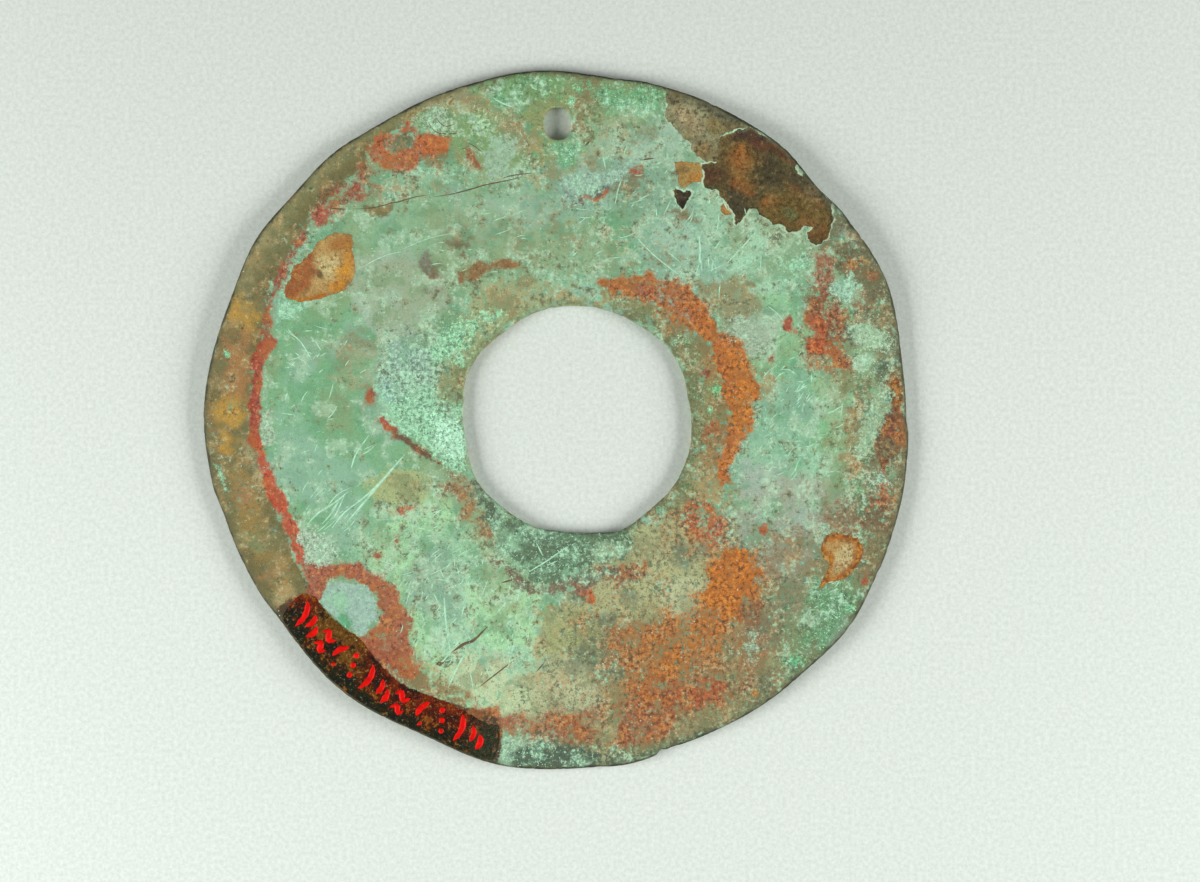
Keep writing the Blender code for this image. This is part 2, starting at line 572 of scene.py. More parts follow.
def fine_sheet():
    corners, faces = sheet_grid()
    mesh = bpy.data.meshes.new("corroded_plaque")
    mesh.from_pydata(corners * MM, [], faces)
    shape = bmesh.new()
    shape.from_mesh(mesh)
    shape.faces.ensure_lookup_table()
    middles = corners[faces].mean(1)
    chosen = np.nonzero(needs_finer(middles[:, :2]) & (middles[:, 2] > THICKNESS - 0.01))[0]
    edges = list({edge for index in chosen for edge in shape.faces[index].edges})
    bmesh.ops.subdivide_edges(shape, edges=edges, cuts=FINER_CUTS, use_grid_fill=True)
    turned_outward(shape, mesh)
    return placed("corroded_plaque", mesh)


corroded_plaque = fine_sheet()
print("Faces of the sheet:", len(corroded_plaque.data.polygons))

# %% Punch the hanging hole
HOLE_SIDES = 112


def punch_hole(sheet):
    shape = bmesh.new()
    ring = smooth_loop(hole_loop[:, :2], HOLE_SIDES)
    base = shape.faces.new([shape.verts.new((x * MM, y * MM, -THICKNESS * MM)) for x, y in ring])
    raised = bmesh.ops.extrude_face_region(shape, geom=[base])["geom"]
    tops = [part for part in raised if isinstance(part, bmesh.types.BMVert)]
    bmesh.ops.translate(shape, verts=tops, vec=(0, 0, 3 * THICKNESS * MM))
    mesh = bpy.data.meshes.new("punch")
    turned_outward(shape, mesh)
    punch = placed("punch", mesh)
    cut = sheet.modifiers.new("punch", "BOOLEAN")
    cut.object = punch
    cut.operation = "DIFFERENCE"
    evaluated = sheet.evaluated_get(bpy.context.evaluated_depsgraph_get())
    punched = bpy.data.meshes.new_from_object(evaluated)
    sheet.modifiers.clear()
    sheet.data = punched
    bpy.data.objects.remove(punch)


punch_hole(corroded_plaque)
print("Faces with the hole punched:", len(corroded_plaque.data.polygons))

# %% [markdown]
# ## Places on the sheet
# From here on the sheet's corners are one array. Two pushed copies of their places serve the
# drawing: one pushed about by up to half a millimetre for stains, and one pushed only a little
# for the crisp edges of flakes.

# %% Corners and their pushed places
STAIN_PUSH = ((0.25, 0.5), (0.7, 0.35), (1.8, 0.2))
FLAKE_PUSH = ((0.8, 0.26), (1.7, 0.20), (3.6, 0.09))
PUSH_SEED = 7

mesh = corroded_plaque.data
corner_count = len(mesh.vertices)
corners = np.zeros(corner_count * 3)
mesh.vertices.foreach_get("co", corners)
corners = corners.reshape(-1, 3) / MM
true_places = corners[:, :2].copy()
on_face = eased((corners[:, 2] - 0.55 * THICKNESS) / (0.35 * THICKNESS))


def pushed(places, pushes):
    """The places moved by noise; each push is (waves a millimetre, how far in mm)."""
    moved = places.copy()
    for waves, far in pushes:
        drift = [noise.noise_vector((x * waves, y * waves, far)) for x, y in places]
        moved += far * np.array(drift)[:, :2]
    return moved


noise.seed_set(PUSH_SEED)
stain_places = pushed(true_places, STAIN_PUSH)
flake_places = pushed(true_places, FLAKE_PUSH)


def waves_at(places, waves, seed=0.0, octaves=3):
    """Noise between about -1 and 1, read at places on the metal."""
    return np.array([
        noise.fractal((x * waves, y * waves, seed), 0.8, 2.0, octaves) for x, y in places
    ])


print("Corners:", corner_count)

# %% [markdown]
# ## Coats
# Corrosion lies in coats: a green ground, thin tan and olive films, red and orange oxides,
# thick crusts, and the metal where all of them are gone. Each coat is two things at each
# corner of the mesh: its colour, and a cover from 0 to 1. The material shows the coat where
# its cover, shaken by fine noise, passes one half. So a wide soft edge breaks up into specks,
# as real stains do, and a hard one stays a line. A cover below 1 leaves a coat full of gaps.

# %% The coat and its brush
RAGGED = 0.9
SPREAD = 1.5
OVERLAP = 0.2
ragged_waves = waves_at(true_places, 0.45, 31.0, octaves=4)


class Coat:
    def __init__(self, colour, ragged=RAGGED, spread=SPREAD):
        self.colour = np.tile(paint(*colour), (corner_count, 1))
        self.cover = np.zeros(corner_count)
        self.ragged = ragged
        self.spread = spread

    def lay(self, depth, colour, soft, cover=1.0):
        """Lays a shape on the coat; soft is how far its edge spreads to each side, in mm."""
        torn = depth + self.ragged * soft * ragged_waves
        share = np.clip(0.5 + torn / (2 * soft * self.spread), 0, 1)
        here = cover * share
        own = eased(2 * share - 0.5)
        over = np.maximum(own, eased((here - self.cover) / OVERLAP + 0.5) * (share > 0))
        self.colour += (paint(*colour) - self.colour) * over[:, None]
        self.cover = np.maximum(self.cover + (cover - self.cover) * own, here)

    def thin(self, depth, soft, cover=0.0):
        """Wears the coat down to a cover inside a shape."""
        own = eased(0.5 + depth / (2 * soft))
        self.cover = np.minimum(self.cover, self.cover + (cover - self.cover) * own)


def lay_all(coat, what, shapes, places=stain_places):
    """Lays a list of (shape, colour, soft), with a cover last where it isn't 1."""
    for (kind, *values), colour, soft, *cover in shapes:
        coat.lay(kind(places, *values), colour, soft, *cover)
    print("Laid:", len(shapes), what)


def tint(coat, what, shapes):
    """Lays colours on a coat and leaves its cover as it was."""
    cover = coat.cover.copy()
    lay_all(coat, what, shapes)
    coat.cover = cover


# %% Outlines that several coats share
LEFT_FIELD = "285,305 350,298 372,340 385,400 415,450 380,500 335,540 290,500 268,440 262,370"
PALE_DISC = (
    "330,584 346,582 362,586 373,597 376,612 371,623 367,630 363,636 350,628 337,621 326,610 323,600")
UPPER_CRYSTALS = "428,356 440,334 462,321 474,326 462,346 444,358"
TOP_EMERALD = "596,86 640,84 664,94 662,110 630,116 600,108"
HOLE_EMERALD = "555,145 577,145 580,160 565,168 554,158"
print("Shared outlines:", 5)

# %% [markdown]
# ## The green ground
# Malachite greens lie over nearly all of the metal. Their tone drifts from deep green at the
# left and the top to a paler, bluer mint at the right, with milky hazes between.

# %% Greens
MINT = (139, 186, 148)
DEEP_GREEN = (115, 168, 124)
LEFT_GREEN = (120, 170, 126)
TOP_GREEN = (122, 156, 102)
SOFT_GREEN = (134, 174, 134)
BRIGHT_MINT = (162, 210, 158)
HAZE = (154, 180, 154)
GREY_HAZE = (152, 164, 142)
RIGHT_GREEN = (138, 190, 142)
PALE_MINT = (152, 192, 158)
GREY_GREEN = (108, 118, 82)

ground = Coat(MINT)
lay_all(ground, "greens", [
    ((patch, "425,95 480,80 560,70 640,76 670,95 655,128 600,142 545,152 480,150 440,125"), TOP_GREEN, 2),
    ((patch, "345,215 420,203 520,185 560,205 540,245 450,262 380,252 350,235"), SOFT_GREEN, 2),
    ((patch, LEFT_FIELD), LEFT_GREEN, 1.5),
    ((spot, 330, 405, 48, 55, 20), DEEP_GREEN, 2.5),
    ((spot, 312, 322, 26, 16, 10), DEEP_GREEN, 1.5),
    ((patch, "362,263 398,253 430,266 438,300 428,322 390,332 360,318 352,288"), HAZE, 1.5),
    ((patch, "395,520 440,512 490,560 530,600 545,640 530,705 490,712 440,692 412,650 395,600 385,560"),
     BRIGHT_MINT, 1.8),
    ((patch, "745,300 800,296 850,330 862,400 858,470 820,505 760,515 735,480 755,420 755,350"),
     RIGHT_GREEN, 1.8),
    ((spot, 792, 440, 42, 50, -20), (120, 178, 128), 2.5),
    ((spot, 790, 378, 26, 30), (122, 178, 132), 2.2),
    ((patch, "742,306 776,308 782,330 762,352 744,345"), (158, 178, 152), 1.6),
    ((patch, "815,356 842,352 852,390 838,424 822,400"), (158, 178, 138), 1.8),
    ((patch, "742,460 780,470 830,478 838,504 780,512 740,500"), (158, 168, 146), 1.8),
    ((patch, "560,176 620,168 660,190 650,214 600,206 566,200"), (136, 174, 146), 2.2),
    ((patch, "424,215 470,208 520,214 530,236 480,250 436,242"), (134, 164, 126), 2.2),
    ((patch, "690,200 730,212 760,225 820,248 815,280 770,290 700,275 660,240"), PALE_MINT, 1.5),
    ((spot, 627, 208, 26, 22), DEEP_GREEN, 2),
    ((patch, "600,124 650,116 684,140 690,164 640,158 600,150"), (156, 188, 154), 1.8),
    ((spot, 642, 194, 28, 22), (114, 154, 110), 2.2),
    ((spot, 822, 462, 16, 14), (158, 204, 168), 1.8),
    ((spot, 484, 574, 18, 14), (164, 210, 174), 1.8),
    ((patch, "740,240 800,236 818,262 806,286 744,286"), (162, 208, 172), 1.6),
    ((spot, 706, 266, 16, 14), (128, 178, 140), 1.8),
    ((spot, 318, 348, 24, 18), (114, 158, 112), 2),
    ((spot, 430, 322, 14, 12), (132, 166, 126), 1.6),
    ((spot, 450, 548, 54, 24, -15), (146, 192, 150), 2.5),
    ((spot, 430, 584, 28, 34), (134, 170, 128), 2.4),
    ((patch, "735,520 800,500 840,520 822,570 770,590 748,560"), GREY_HAZE, 1.8),
    ((patch, "760,600 810,560 872,570 866,620 840,664 790,710 740,720 750,680"), GREY_GREEN, 2),
    ((patch, "600,600 690,560 770,600 780,690 690,752 560,750 520,700 560,640"), (150, 152, 112), 2.5),
])

# %% [markdown]
# ## Films
# Thin tan, olive and cream films lie over the green: a broad band round the left of the rim,
# a ring round the opening, and clouds at the lower right.

# %% Film colours, and the films at the left
TAN = (107, 93, 51)
OLIVE = (134, 128, 80)
GOLD_TAN = (178, 134, 46)
RUST_TAN = (156, 108, 60)
CREAM = (174, 176, 124)
KHAKI = (160, 166, 112)
PEACH = (164, 148, 104)
PURPLE_GREY = (118, 112, 104)

LEFT_BAND = (
    "432,86 380,104 328,140 285,180 250,228 222,280 204,340 196,400 198,460 212,525 236,585 268,632 "
    "300,655 330,640 318,605 308,585 297,560 284,530 272,500 262,470 254,440 250,405 254,372 264,345 "
    "266,315 272,290 284,266 296,240 310,215 328,198 352,176 372,150 398,130 428,110")
film = Coat(TAN)
lay_all(film, "films at the left", [
    ((patch, LEFT_BAND), TAN, 0.7, 1.05),
    ((stroke, "420,100 370,125 325,158 290,195 262,240", 30), (126, 120, 74), 1.5),
    ((spot, 401, 143, 12, 8, 25), (100, 108, 76), 0.5, 1.2),
    ((stroke, "428,90 378,110 328,146 286,186 252,230 225,282 206,342 199,400 201,460 215,525 238,584 "
              "262,622", 11), (88, 94, 66), 0.6, 1.05),
    ((stroke, "262,238 238,290", 22), (146, 130, 84), 1.5, 0.9),
    ((spot, 244, 312, 15, 20, 20), GOLD_TAN, 1.4, 1.05),
    ((spot, 236, 366, 15, 34, -6), RUST_TAN, 1.4, 1.05),
    ((spot, 229, 412, 15), GOLD_TAN, 1.4, 1.05),
    ((spot, 228, 445, 12), GOLD_TAN, 1.2, 1.05),
    ((stroke, "242,480 256,530 284,580", 24), (142, 114, 56), 1.5),
    ((spot, 256, 540, 16, 10), (122, 124, 80), 1.5),
    ((spot, 245, 497, 7, 10), RUST_TAN, 0.8, 0.8),
    ((spot, 270, 575, 9, 6), RUST_TAN, 1, 0.7),
    ((spot, 288, 598, 15, 12), (158, 140, 92), 1.2, 1.05),
    ((stroke, "216,350 209,400 212,450", 9), (138, 104, 58), 0.9, 0.8),
])

# %% Films at the top
lay_all(film, "films at the top", [
    ((patch, "428,88 470,82 478,98 462,110 430,112"), PEACH, 1.2, 0.7),
    ((patch, "482,92 520,120 548,150 520,160 498,135 470,110"), PEACH, 1.5, 0.62),
    ((patch, "520,84 566,90 572,130 548,146 528,120"), (150, 140, 92), 1.6, 0.56),
    ((patch, "574,70 600,74 606,100 596,140 578,140 570,95"), (126, 112, 78), 1.2, 0.72),
    ((patch, "540,152 585,150 600,165 560,176 540,176"), PEACH, 1.3, 0.55),
    ((patch, "590,108 640,112 656,124 640,150 600,152 584,132"), (152, 156, 116), 2.2, 0.42),
    ((patch, "446,148 480,176 540,182 600,166 560,148 520,170 480,160"), (158, 148, 102), 1.8, 0.42),
    ((patch, "600,84 660,82 668,90 655,96 600,94"), (128, 134, 100), 1, 0.6),
])

# %% Films round the opening and below it
lay_all(film, "films round the opening and below it", [
    ((patch, "482,285 520,275 570,290 610,300 580,312 530,318 490,345 468,380 455,370 462,325"),
     (158, 158, 110), 1.6, 0.75),
    ((spot, 455, 384, 17, 22, 10), (140, 146, 98), 0.9),
    ((patch, "600,286 640,296 670,308 698,330 722,362 732,405 724,450 716,490 690,520 660,540 668,500 "
             "692,450 694,400 680,350 650,318 610,306"), OLIVE, 1.0, 0.8),
    ((patch, "700,284 728,278 752,286 760,300 748,316 728,326 712,310"), (140, 138, 98), 1.2, 0.9),
    ((patch, "330,345 372,338 392,370 380,398 345,390"), (148, 156, 118), 2, 0.6),
    ((patch, "372,478 400,470 426,478 420,502 388,508 370,495"), (164, 176, 122), 1.2, 0.9),
    ((patch, "585,545 640,525 690,520 722,545 712,590 680,620 640,622 600,632 570,668 545,664 536,640 "
             "550,614 584,597"), CREAM, 1.3, 0.95),
    ((patch, "548,618 568,606 592,618 600,640 580,668 552,666 544,644"), KHAKI, 1.2, 0.9),
    ((patch, "520,680 560,655 610,680 620,712 590,740 540,735 505,715"), (168, 172, 128), 1.5, 0.8),
    ((patch, "500,700 470,690 430,670 412,652 440,668 480,690"), (176, 172, 120), 1, 0.6),
    ((patch, "440,664 476,656 516,674 540,694 518,716 470,708"), (188, 204, 160), 2, 0.74),
])

# %% Films along the right of the rim
lay_all(film, "films along the right of the rim", [
    ((stroke, "900,520 889,570 868,618 834,662 788,702 735,734 680,752", [18, 20, 20, 18, 18, 18, 14]),
     (104, 98, 66), 1.3, 0.72),
    ((stroke, "430,88 500,77 580,72 650,80 668,86", 9), (98, 104, 72), 0.7, 0.8),
    ((stroke, "880,288 892,330 900,370 904,392", [26, 28, 22, 14]), (112, 104, 72), 0.9, 0.9),
    ((patch, "846,226 868,250 888,290 900,350 902,392 884,396 870,350 856,306 836,262"),
     (108, 94, 64), 1.8, 0.80),
    ((patch, "846,400 872,402 892,460 896,520 884,566 862,540 866,480"), (132, 116, 80), 1.8, 0.62),
    ((spot, 856, 300, 12, 10), (140, 112, 78), 1.2, 0.7),
    ((stroke, "858,372 868,384 862,404", 16), (132, 118, 82), 1.2, 0.7),
    ((stroke, "838,228 862,256 880,288", [26, 32, 24]), (108, 94, 68), 1.2),
    ((stroke, "905,462 902,500 896,540", 14), (124, 106, 76), 0.8, 0.8),
    ((spot, 847, 240, 14, 10, -40), (128, 132, 118), 1.2, 0.8),
    ((spot, 849, 339, 10, 16), (112, 118, 92), 1.2, 0.75),
    ((spot, 882, 366, 9, 14), (100, 110, 84), 1, 0.75),
    ((spot, 880, 306, 7, 6), (150, 124, 78), 0.7, 0.8),
    ((stroke, "618,306 650,321 676,345 690,378 694,420 686,460 668,492 640,520",
      [8, 10, 13, 15, 16, 16, 14, 10]),
     (112, 106, 70), 1, 0.85),
    ((stroke, "706,352 716,385 716,425 710,460", 20), (150, 114, 64), 1.2, 0.85),
    ((stroke, "462,440 459,400 470,365 492,336 520,316 556,304 596,305", 6), (122, 132, 88), 0.8, 0.75),
    ((patch, "376,640 398,659 424,673 456,687 474,702 450,704 404,684 372,656"), (140, 110, 70), 0.9, 0.82),
    ((stroke, "853,420 855,470", 16), (152, 134, 90), 1, 0.85),
    ((stroke, "880,480 892,510 884,560", 30), (130, 126, 98), 1.5, 0.7),
])

# %% Films of the lower right
lay_all(film, "films of the lower right", [
    ((patch, "690,640 740,640 790,690 740,730 660,752 610,745 640,715"), (124, 116, 80), 1.8, 0.70),
    ((patch, "612,622 690,600 706,560 728,544 756,556 768,600 766,660 736,706 676,742 612,748 560,748 "
             "560,716 600,700 596,650"), (142, 130, 86), 2.4, 0.92),
    ((stroke, "890,496 884,530 872,572", 26), (136, 116, 80), 1.2, 0.85),
    ((patch, "664,584 700,578 704,600 684,618 662,608"), (186, 190, 144), 1, 0.9),
    ((patch, "610,566 650,556 656,584 622,592"), (178, 178, 124), 1.2, 0.9),
    ((patch, "540,680 580,676 598,700 570,716 540,706"), (182, 184, 142), 1.2, 0.85),
    ((spot, 682, 552, 16, 12, 20), (118, 126, 98), 1.4, 0.82),
    ((spot, 601, 619, 12, 8), (112, 120, 92), 1.2, 0.85),
    ((spot, 625, 599, 9, 7), (112, 118, 92), 1.2, 0.80),
    ((spot, 589, 651, 14, 10), (116, 126, 98), 1.4, 0.85),
    ((spot, 602, 668, 11, 9), (112, 120, 100), 1.2, 0.82),
    ((spot, 574, 669, 8, 7), (132, 138, 106), 1, 0.75),
    ((stroke, "586,720 600,728 618,734", 7), (180, 176, 126), 0.8, 0.8),
    ((patch, "770,540 815,530 820,590 780,620 760,590"), (140, 132, 104), 1.8, 0.55),
    ((spot, 708, 490, 13, 18), (168, 144, 92), 1.4, 0.85),
])

# %% Smudges in the greens
lay_all(film, "smudges in the greens", [
    ((spot, 626, 186, 18, 12), (120, 124, 94), 1.6, 0.9),
    ((spot, 628, 210, 16, 12), (110, 148, 108), 1.8, 0.6),
    ((spot, 824, 240, 16, 14), (106, 104, 70), 1.4, 0.9),
    ((spot, 822, 292, 14, 12), (122, 112, 80), 1.4, 0.7),
    ((spot, 824, 572, 16, 14), (142, 122, 80), 1.6, 0.7),
    ((spot, 878, 460, 12), (116, 108, 78), 1.2, 0.85),
    ((spot, 880, 408, 9, 14), (132, 144, 98), 1.2, 0.8),
    ((spot, 764, 688, 16, 14), (108, 108, 84), 1.6, 0.85),
    ((spot, 848, 264, 18, 16), (100, 94, 62), 1.4, 0.95),
    ((spot, 846, 518, 18, 16), (136, 112, 84), 1.6, 0.9),
    ((spot, 880, 516, 14, 18), (112, 88, 62), 1.2, 0.9),
    ((spot, 848, 378, 14, 16), (128, 134, 90), 1.4, 0.85),
    ((spot, 764, 380, 14, 16), (134, 142, 102), 1.6, 0.7),
    ((spot, 764, 632, 18, 20), (118, 112, 84), 1.4, 0.9),
    ((spot, 764, 574, 14, 20), (148, 116, 82), 1.4, 0.9),
    ((spot, 792, 546, 16), (142, 126, 96), 1.6, 0.8),
    ((spot, 428, 158, 14, 8), (136, 116, 76), 1.2, 0.8),
    ((stroke, "249,446 254,464 260,482", 7), (176, 158, 112), 0.8, 0.9),
    ((spot, 511, 206, 16, 12), (106, 98, 62), 1.8, 0.95),
    ((spot, 461, 242, 11, 9), (104, 94, 66), 1.6, 0.85),
    ((spot, 541, 250, 8, 5), (112, 104, 76), 1, 0.6),
    ((patch, "440,205 500,190 560,196 600,230 560,262 500,248 460,232"), (152, 156, 118), 2.2, 0.28),
    ((patch, "350,190 380,180 420,178 440,190 410,200 360,202"), (150, 150, 112), 1.6, 0.55),
    ((patch, "600,236 640,226 680,238 690,262 650,276 610,268"), (150, 154, 118), 2, 0.30),
    ((spot, 427, 260, 9, 8), PURPLE_GREY, 1.2, 0.7),
    ((spot, 435, 281, 6, 12), (104, 88, 76), 1.1, 0.68),
    ((spot, 679, 219, 9, 7), (140, 120, 84), 0.8, 0.75),
    ((stroke, "366,207 380,211 393,204", [6, 12, 6]), (116, 106, 62), 0.4),
])

# %% [markdown]
# ## Red and orange oxides
# Cuprite red and iron-like orange show where the green has flaked or never formed: a red line
# that follows the left of the rim, a broad arc round the opening, and grainy fields below.

# %% Oxide colours, and the orange hazes
RED = (158, 66, 50)
DARK_RED = (132, 58, 48)
ORANGE = (178, 98, 34)
RUST = (160, 92, 46)
BRIGHT_ORANGE = (188, 108, 30)
OCHRE = (172, 132, 70)

oxide = Coat(RED)
lay_all(oxide, "orange hazes", [
    ((patch, "640,520 686,508 722,520 738,548 700,556 664,540"), (154, 110, 68), 1.4, 0.46),
    ((patch, "560,596 600,600 620,630 590,650 566,630"), (150, 110, 66), 1.6, 0.2),
    ((patch, "738,628 766,632 770,660 748,690 722,700 728,664"), (142, 96, 68), 1.2, 0.46),
    ((patch, "700,600 740,612 746,640 738,672 716,704 670,734 628,744 614,706 606,660 612,630 650,620 "
             "682,616"), (154, 106, 66), 1.8, 0.46),
    ((patch, "612,636 640,622 672,616 696,610 698,640 686,680 668,702 640,708 614,692 606,660"),
     (168, 106, 56), 1.8, 0.70),
])

# %% Red line and red patches at the left
lay_all(oxide, "red line and red patches at the left", [
    ((stroke, "305,235 299,241 294,250 288,261 281,276 275,291 269,305", [4, 6, 7, 8, 8, 7, 6]),
     (146, 66, 50), 0.45, 0.8),
    ((stroke, "269,302 268,320 267,340", 9), (148, 80, 56), 0.7, 0.86),
    ((stroke, "272,345 262,356 258,370 255,385 254,400 254,424 253,440", [12, 14, 9, 10, 13, 13, 9]),
     RED, 0.35),
    ((stroke, "253,436 259,450 263,462 268,478 273,492 281,507 288,523 297,543 304,560 316,575",
      [8, 9, 10, 12, 13, 12, 11, 10, 11, 13]),
     (184, 74, 48), 0.35),
    ((stroke, "312,572 323,571 338,570 356,572 369,580 379,589 386,600", [16, 16, 15, 15, 15, 16, 18]),
     (158, 84, 60), 0.6),
    ((patch, "378,588 396,592 408,618 410,645 418,668 408,678 392,668 354,640 378,622"),
     (158, 86, 58), 0.8, 0.98),
    ((patch, "308,570 324,578 328,588 322,600 308,594"), (160, 84, 62), 0.5, 0.9),
    ((patch, "366,156 368,147 381,136 396,130 411,125 420,130 429,136 448,137 451,143 446,152 429,156 "
             "418,165 411,172 392,173 381,169 374,160"), (168, 94, 56), 0.6, 0.9),
    ((patch, "420,136 448,137 451,144 440,152 424,154"), (182, 96, 48), 0.5, 0.95),
    ((spot, 401, 143, 12, 7, 25), DARK_RED, 0.5, 0),
    ((patch, "308,226 320,200 344,182 364,166 376,176 364,196 342,210 324,230"), (146, 86, 66), 1.4, 0.60),
    ((patch, "322,192 342,183 360,181 360,195 345,204 328,204"), (144, 70, 56), 1, 0.68),
    ((patch, "312,214 328,208 330,218 318,226 311,226"), (164, 72, 58), 0.7, 0.8),
    ((stroke, "463,147 470,158 479,166", 6), (150, 92, 62), 0.5, 0.8),
    ((stroke, "581,197 596,196 607,190", 5), (176, 100, 60), 0.4, 0.8),
    ((spot, 637, 172, 6, 5), (164, 78, 52), 0.5),
    ((patch, "461,271 477,265 490,265 505,258 520,264 513,268 496,269 485,273 477,280 463,284"),
     (136, 104, 64), 0.4, 0.95),
])

# %% Orange arc and rust to its right
lay_all(oxide, "orange arc and rust to its right", [
    ((patch, "600,281 651,277 667,281 687,286 700,299 709,313 720,327 732,336 741,343 745,356 751,371 "
             "756,384 756,397 751,413 749,426 742,441 734,454 731,467 729,480 722,486 719,480 721,456 "
             "727,439 727,426 729,408 725,393 719,378 714,360 710,341 694,330 677,314 658,304 640,297 "
             "600,287"), ORANGE, 0.5, 1.05),
    ((patch, "728,350 744,352 756,384 754,410 742,440 730,430 734,400"), BRIGHT_ORANGE, 0.7, 1.08),
    ((patch, "602,283 651,279 680,285 696,300 684,306 660,302 630,295"), (164, 98, 52), 1, 0.98),
    ((stroke, "644,292 668,300 688,318", 7), (160, 78, 50), 0.8, 0.75),
    ((spot, 676, 319, 14, 8, -40), (164, 104, 58), 1, 0.8),
    ((spot, 705, 375, 5), DARK_RED, 0.4, 0.9),
    ((spot, 714, 430, 12), (150, 96, 62), 1.2, 0.62),
    ((patch, "806,294 848,286 862,326 858,370 832,378 804,358 798,324"), (142, 108, 72), 1.5, 0.46),
    ((stroke, "820,262 826,284 832,308", 22), (146, 92, 68), 1.2, 0.72),
    ((patch, "818,298 828,306 842,309 852,318 846,330 841,342 846,356 854,362 850,369 836,362 824,353 "
             "814,346 800,352 816,334 808,320"), (148, 86, 58), 1.2, 0.97),
    ((patch, "810,320 824,310 830,322 828,336 838,350 824,354 808,346 818,334"), (178, 82, 40), 1, 1.12),
    ((spot, 788, 323, 4, 7), (158, 72, 52), 0.3),
    ((spot, 797, 330, 4), (168, 88, 56), 0.4, 0.8),
    ((spot, 772, 355, 2.5), (150, 70, 54), 0.3, 0.9),
    ((spot, 873, 276, 6), (140, 84, 58), 0.5, 0.9),
    ((spot, 763, 528, 6, 5, 60), (160, 74, 56), 0.4),
    ((spot, 401, 512, 3.5), (166, 84, 62), 0.4, 0.9),
    ((spot, 412, 509, 2.5), (166, 90, 66), 0.4, 0.8),
    ((spot, 397, 540, 3.5), (168, 92, 66), 0.5, 0.8),
    ((spot, 377, 555, 3.5), (150, 80, 60), 0.4, 0.9),
    ((spot, 372, 396, 5, 7), (142, 66, 52), 0.5, 0.9),
    ((patch, "380,414 394,416 396,430 388,432 381,424"), (160, 74, 56), 0.4),
    ((stroke, "395,434 415,445 429,456 438,463 456,474 474,484", 7), (104, 70, 54), 0.5),
])

# %% Oxides below the opening
lay_all(oxide, "oxides below the opening", [
    ((patch, "446,466 462,470 478,482 488,510 480,524 464,514 450,494"), (148, 106, 76), 1.4, 0.66),
    ((patch, "570,580 590,586 594,596 586,603 578,596"), (184, 88, 44), 0.4, 1.1),
    ((spot, 618, 570, 24, 13), (136, 90, 66), 1.2, 0.80),
    ((patch, "684,508 704,500 722,520 720,544 700,540 686,526"), (168, 88, 56), 1, 0.72),
    ((patch, "725,551 744,552 754,566 758,584 755,600 740,622 716,618 700,601 706,585 718,564"),
     BRIGHT_ORANGE, 1.1, 0.98),
    ((patch, "716,560 742,556 752,580 738,606 716,602 708,584"), (188, 110, 36), 1, 1.2),
    ((spot, 704, 632, 26, 14, 30), (182, 106, 40), 1.8, 0.86),
    ((spot, 694, 634, 26, 18, 30), (176, 104, 42), 2, 0.72),
    ((spot, 668, 664, 22, 16, 30), (178, 106, 42), 1.8, 0.80),
    ((spot, 660, 700, 32, 20, 20), (160, 82, 42), 1.6, 0.76),
    ((spot, 640, 650, 18, 12, -20), (150, 98, 54), 1.4, 0.68),
    ((patch, "744,600 766,604 768,620 748,628 738,616"), (138, 84, 54), 1.4, 0.66),
    ((patch, "686,690 712,676 728,682 722,700 698,708"), (166, 84, 48), 1.1, 0.86),
    ((patch, "539,716 570,708 600,716 600,742 565,748 542,736"), (150, 90, 66), 1.4, 0.66),
    ((patch, "617,710 650,702 676,712 668,736 636,746 616,738"), (154, 90, 60), 1.4, 0.72),
    ((patch, "500,712 540,720 545,735 520,738 498,730"), (152, 90, 66), 1, 0.66),
    ((patch, "446,466 454,464 470,476 488,510 500,548 482,544 462,516 450,494"), (142, 112, 74), 1.5, 0.6),
    ((spot, 485, 714, 18, 9, -20), (162, 96, 58), 0.9),
    ((spot, 865, 580, 6), (170, 82, 54), 0.4, 0.9),
    ((stroke, "886,465 880,504 868,523", 14), (160, 96, 64), 0.9, 0.68),
    ((spot, 756, 694, 3, 4), (176, 122, 56), 0.3),
    ((spot, 860, 336, 14, 28), (146, 106, 74), 1.5, 0.5),
    ((spot, 848, 264, 13), (122, 96, 68), 1.5, 0.5),
    ((spot, 877, 434, 10, 14), (124, 106, 74), 1.5, 0.5),
    ((spot, 876, 521, 12, 13), (122, 90, 64), 1.5, 0.45),
    ((stroke, "814,302 826,320 834,344", 7), (116, 62, 44), 1.2, 0.7),
])

# %% Dark chip at the right of the rim
lay_all(oxide, "dark chip at the right of the rim", [
    ((patch, "896,389 899,402 906,423 907,436 904,450 893,456 886,471 879,460 873,452 879,437 886,426 "
             "888,413 893,404"), (104, 74, 50), 0.3, 1.2),
    ((stroke, "894,384 896,400 896,420", 9), (52, 40, 32), 0.4, 1.25),
    ((spot, 897, 421, 9, 5), (108, 56, 40), 0.5, 1.2),
    ((spot, 893, 431, 8, 5), (134, 74, 46), 0.8, 1.1),
    ((spot, 888, 448, 13, 8), (114, 102, 72), 0.6, 1.2),
    ((spot, 884, 464, 4, 6), (152, 102, 58), 0.4, 1.2),
])

# %% [markdown]
# ## Crusts
# Thick crusts stand proud of the rest: dark teal below the opening, chalky and bright mint
# crystals to its left, a pale disc by the rim at the lower left.

# %% Crust colours, and the crusts round the opening
TEAL = (88, 114, 86)
DARK_TEAL = (84, 98, 78)
CRYSTAL = (148, 208, 162)
CHALK = (158, 194, 160)
EMERALD = (112, 172, 124)

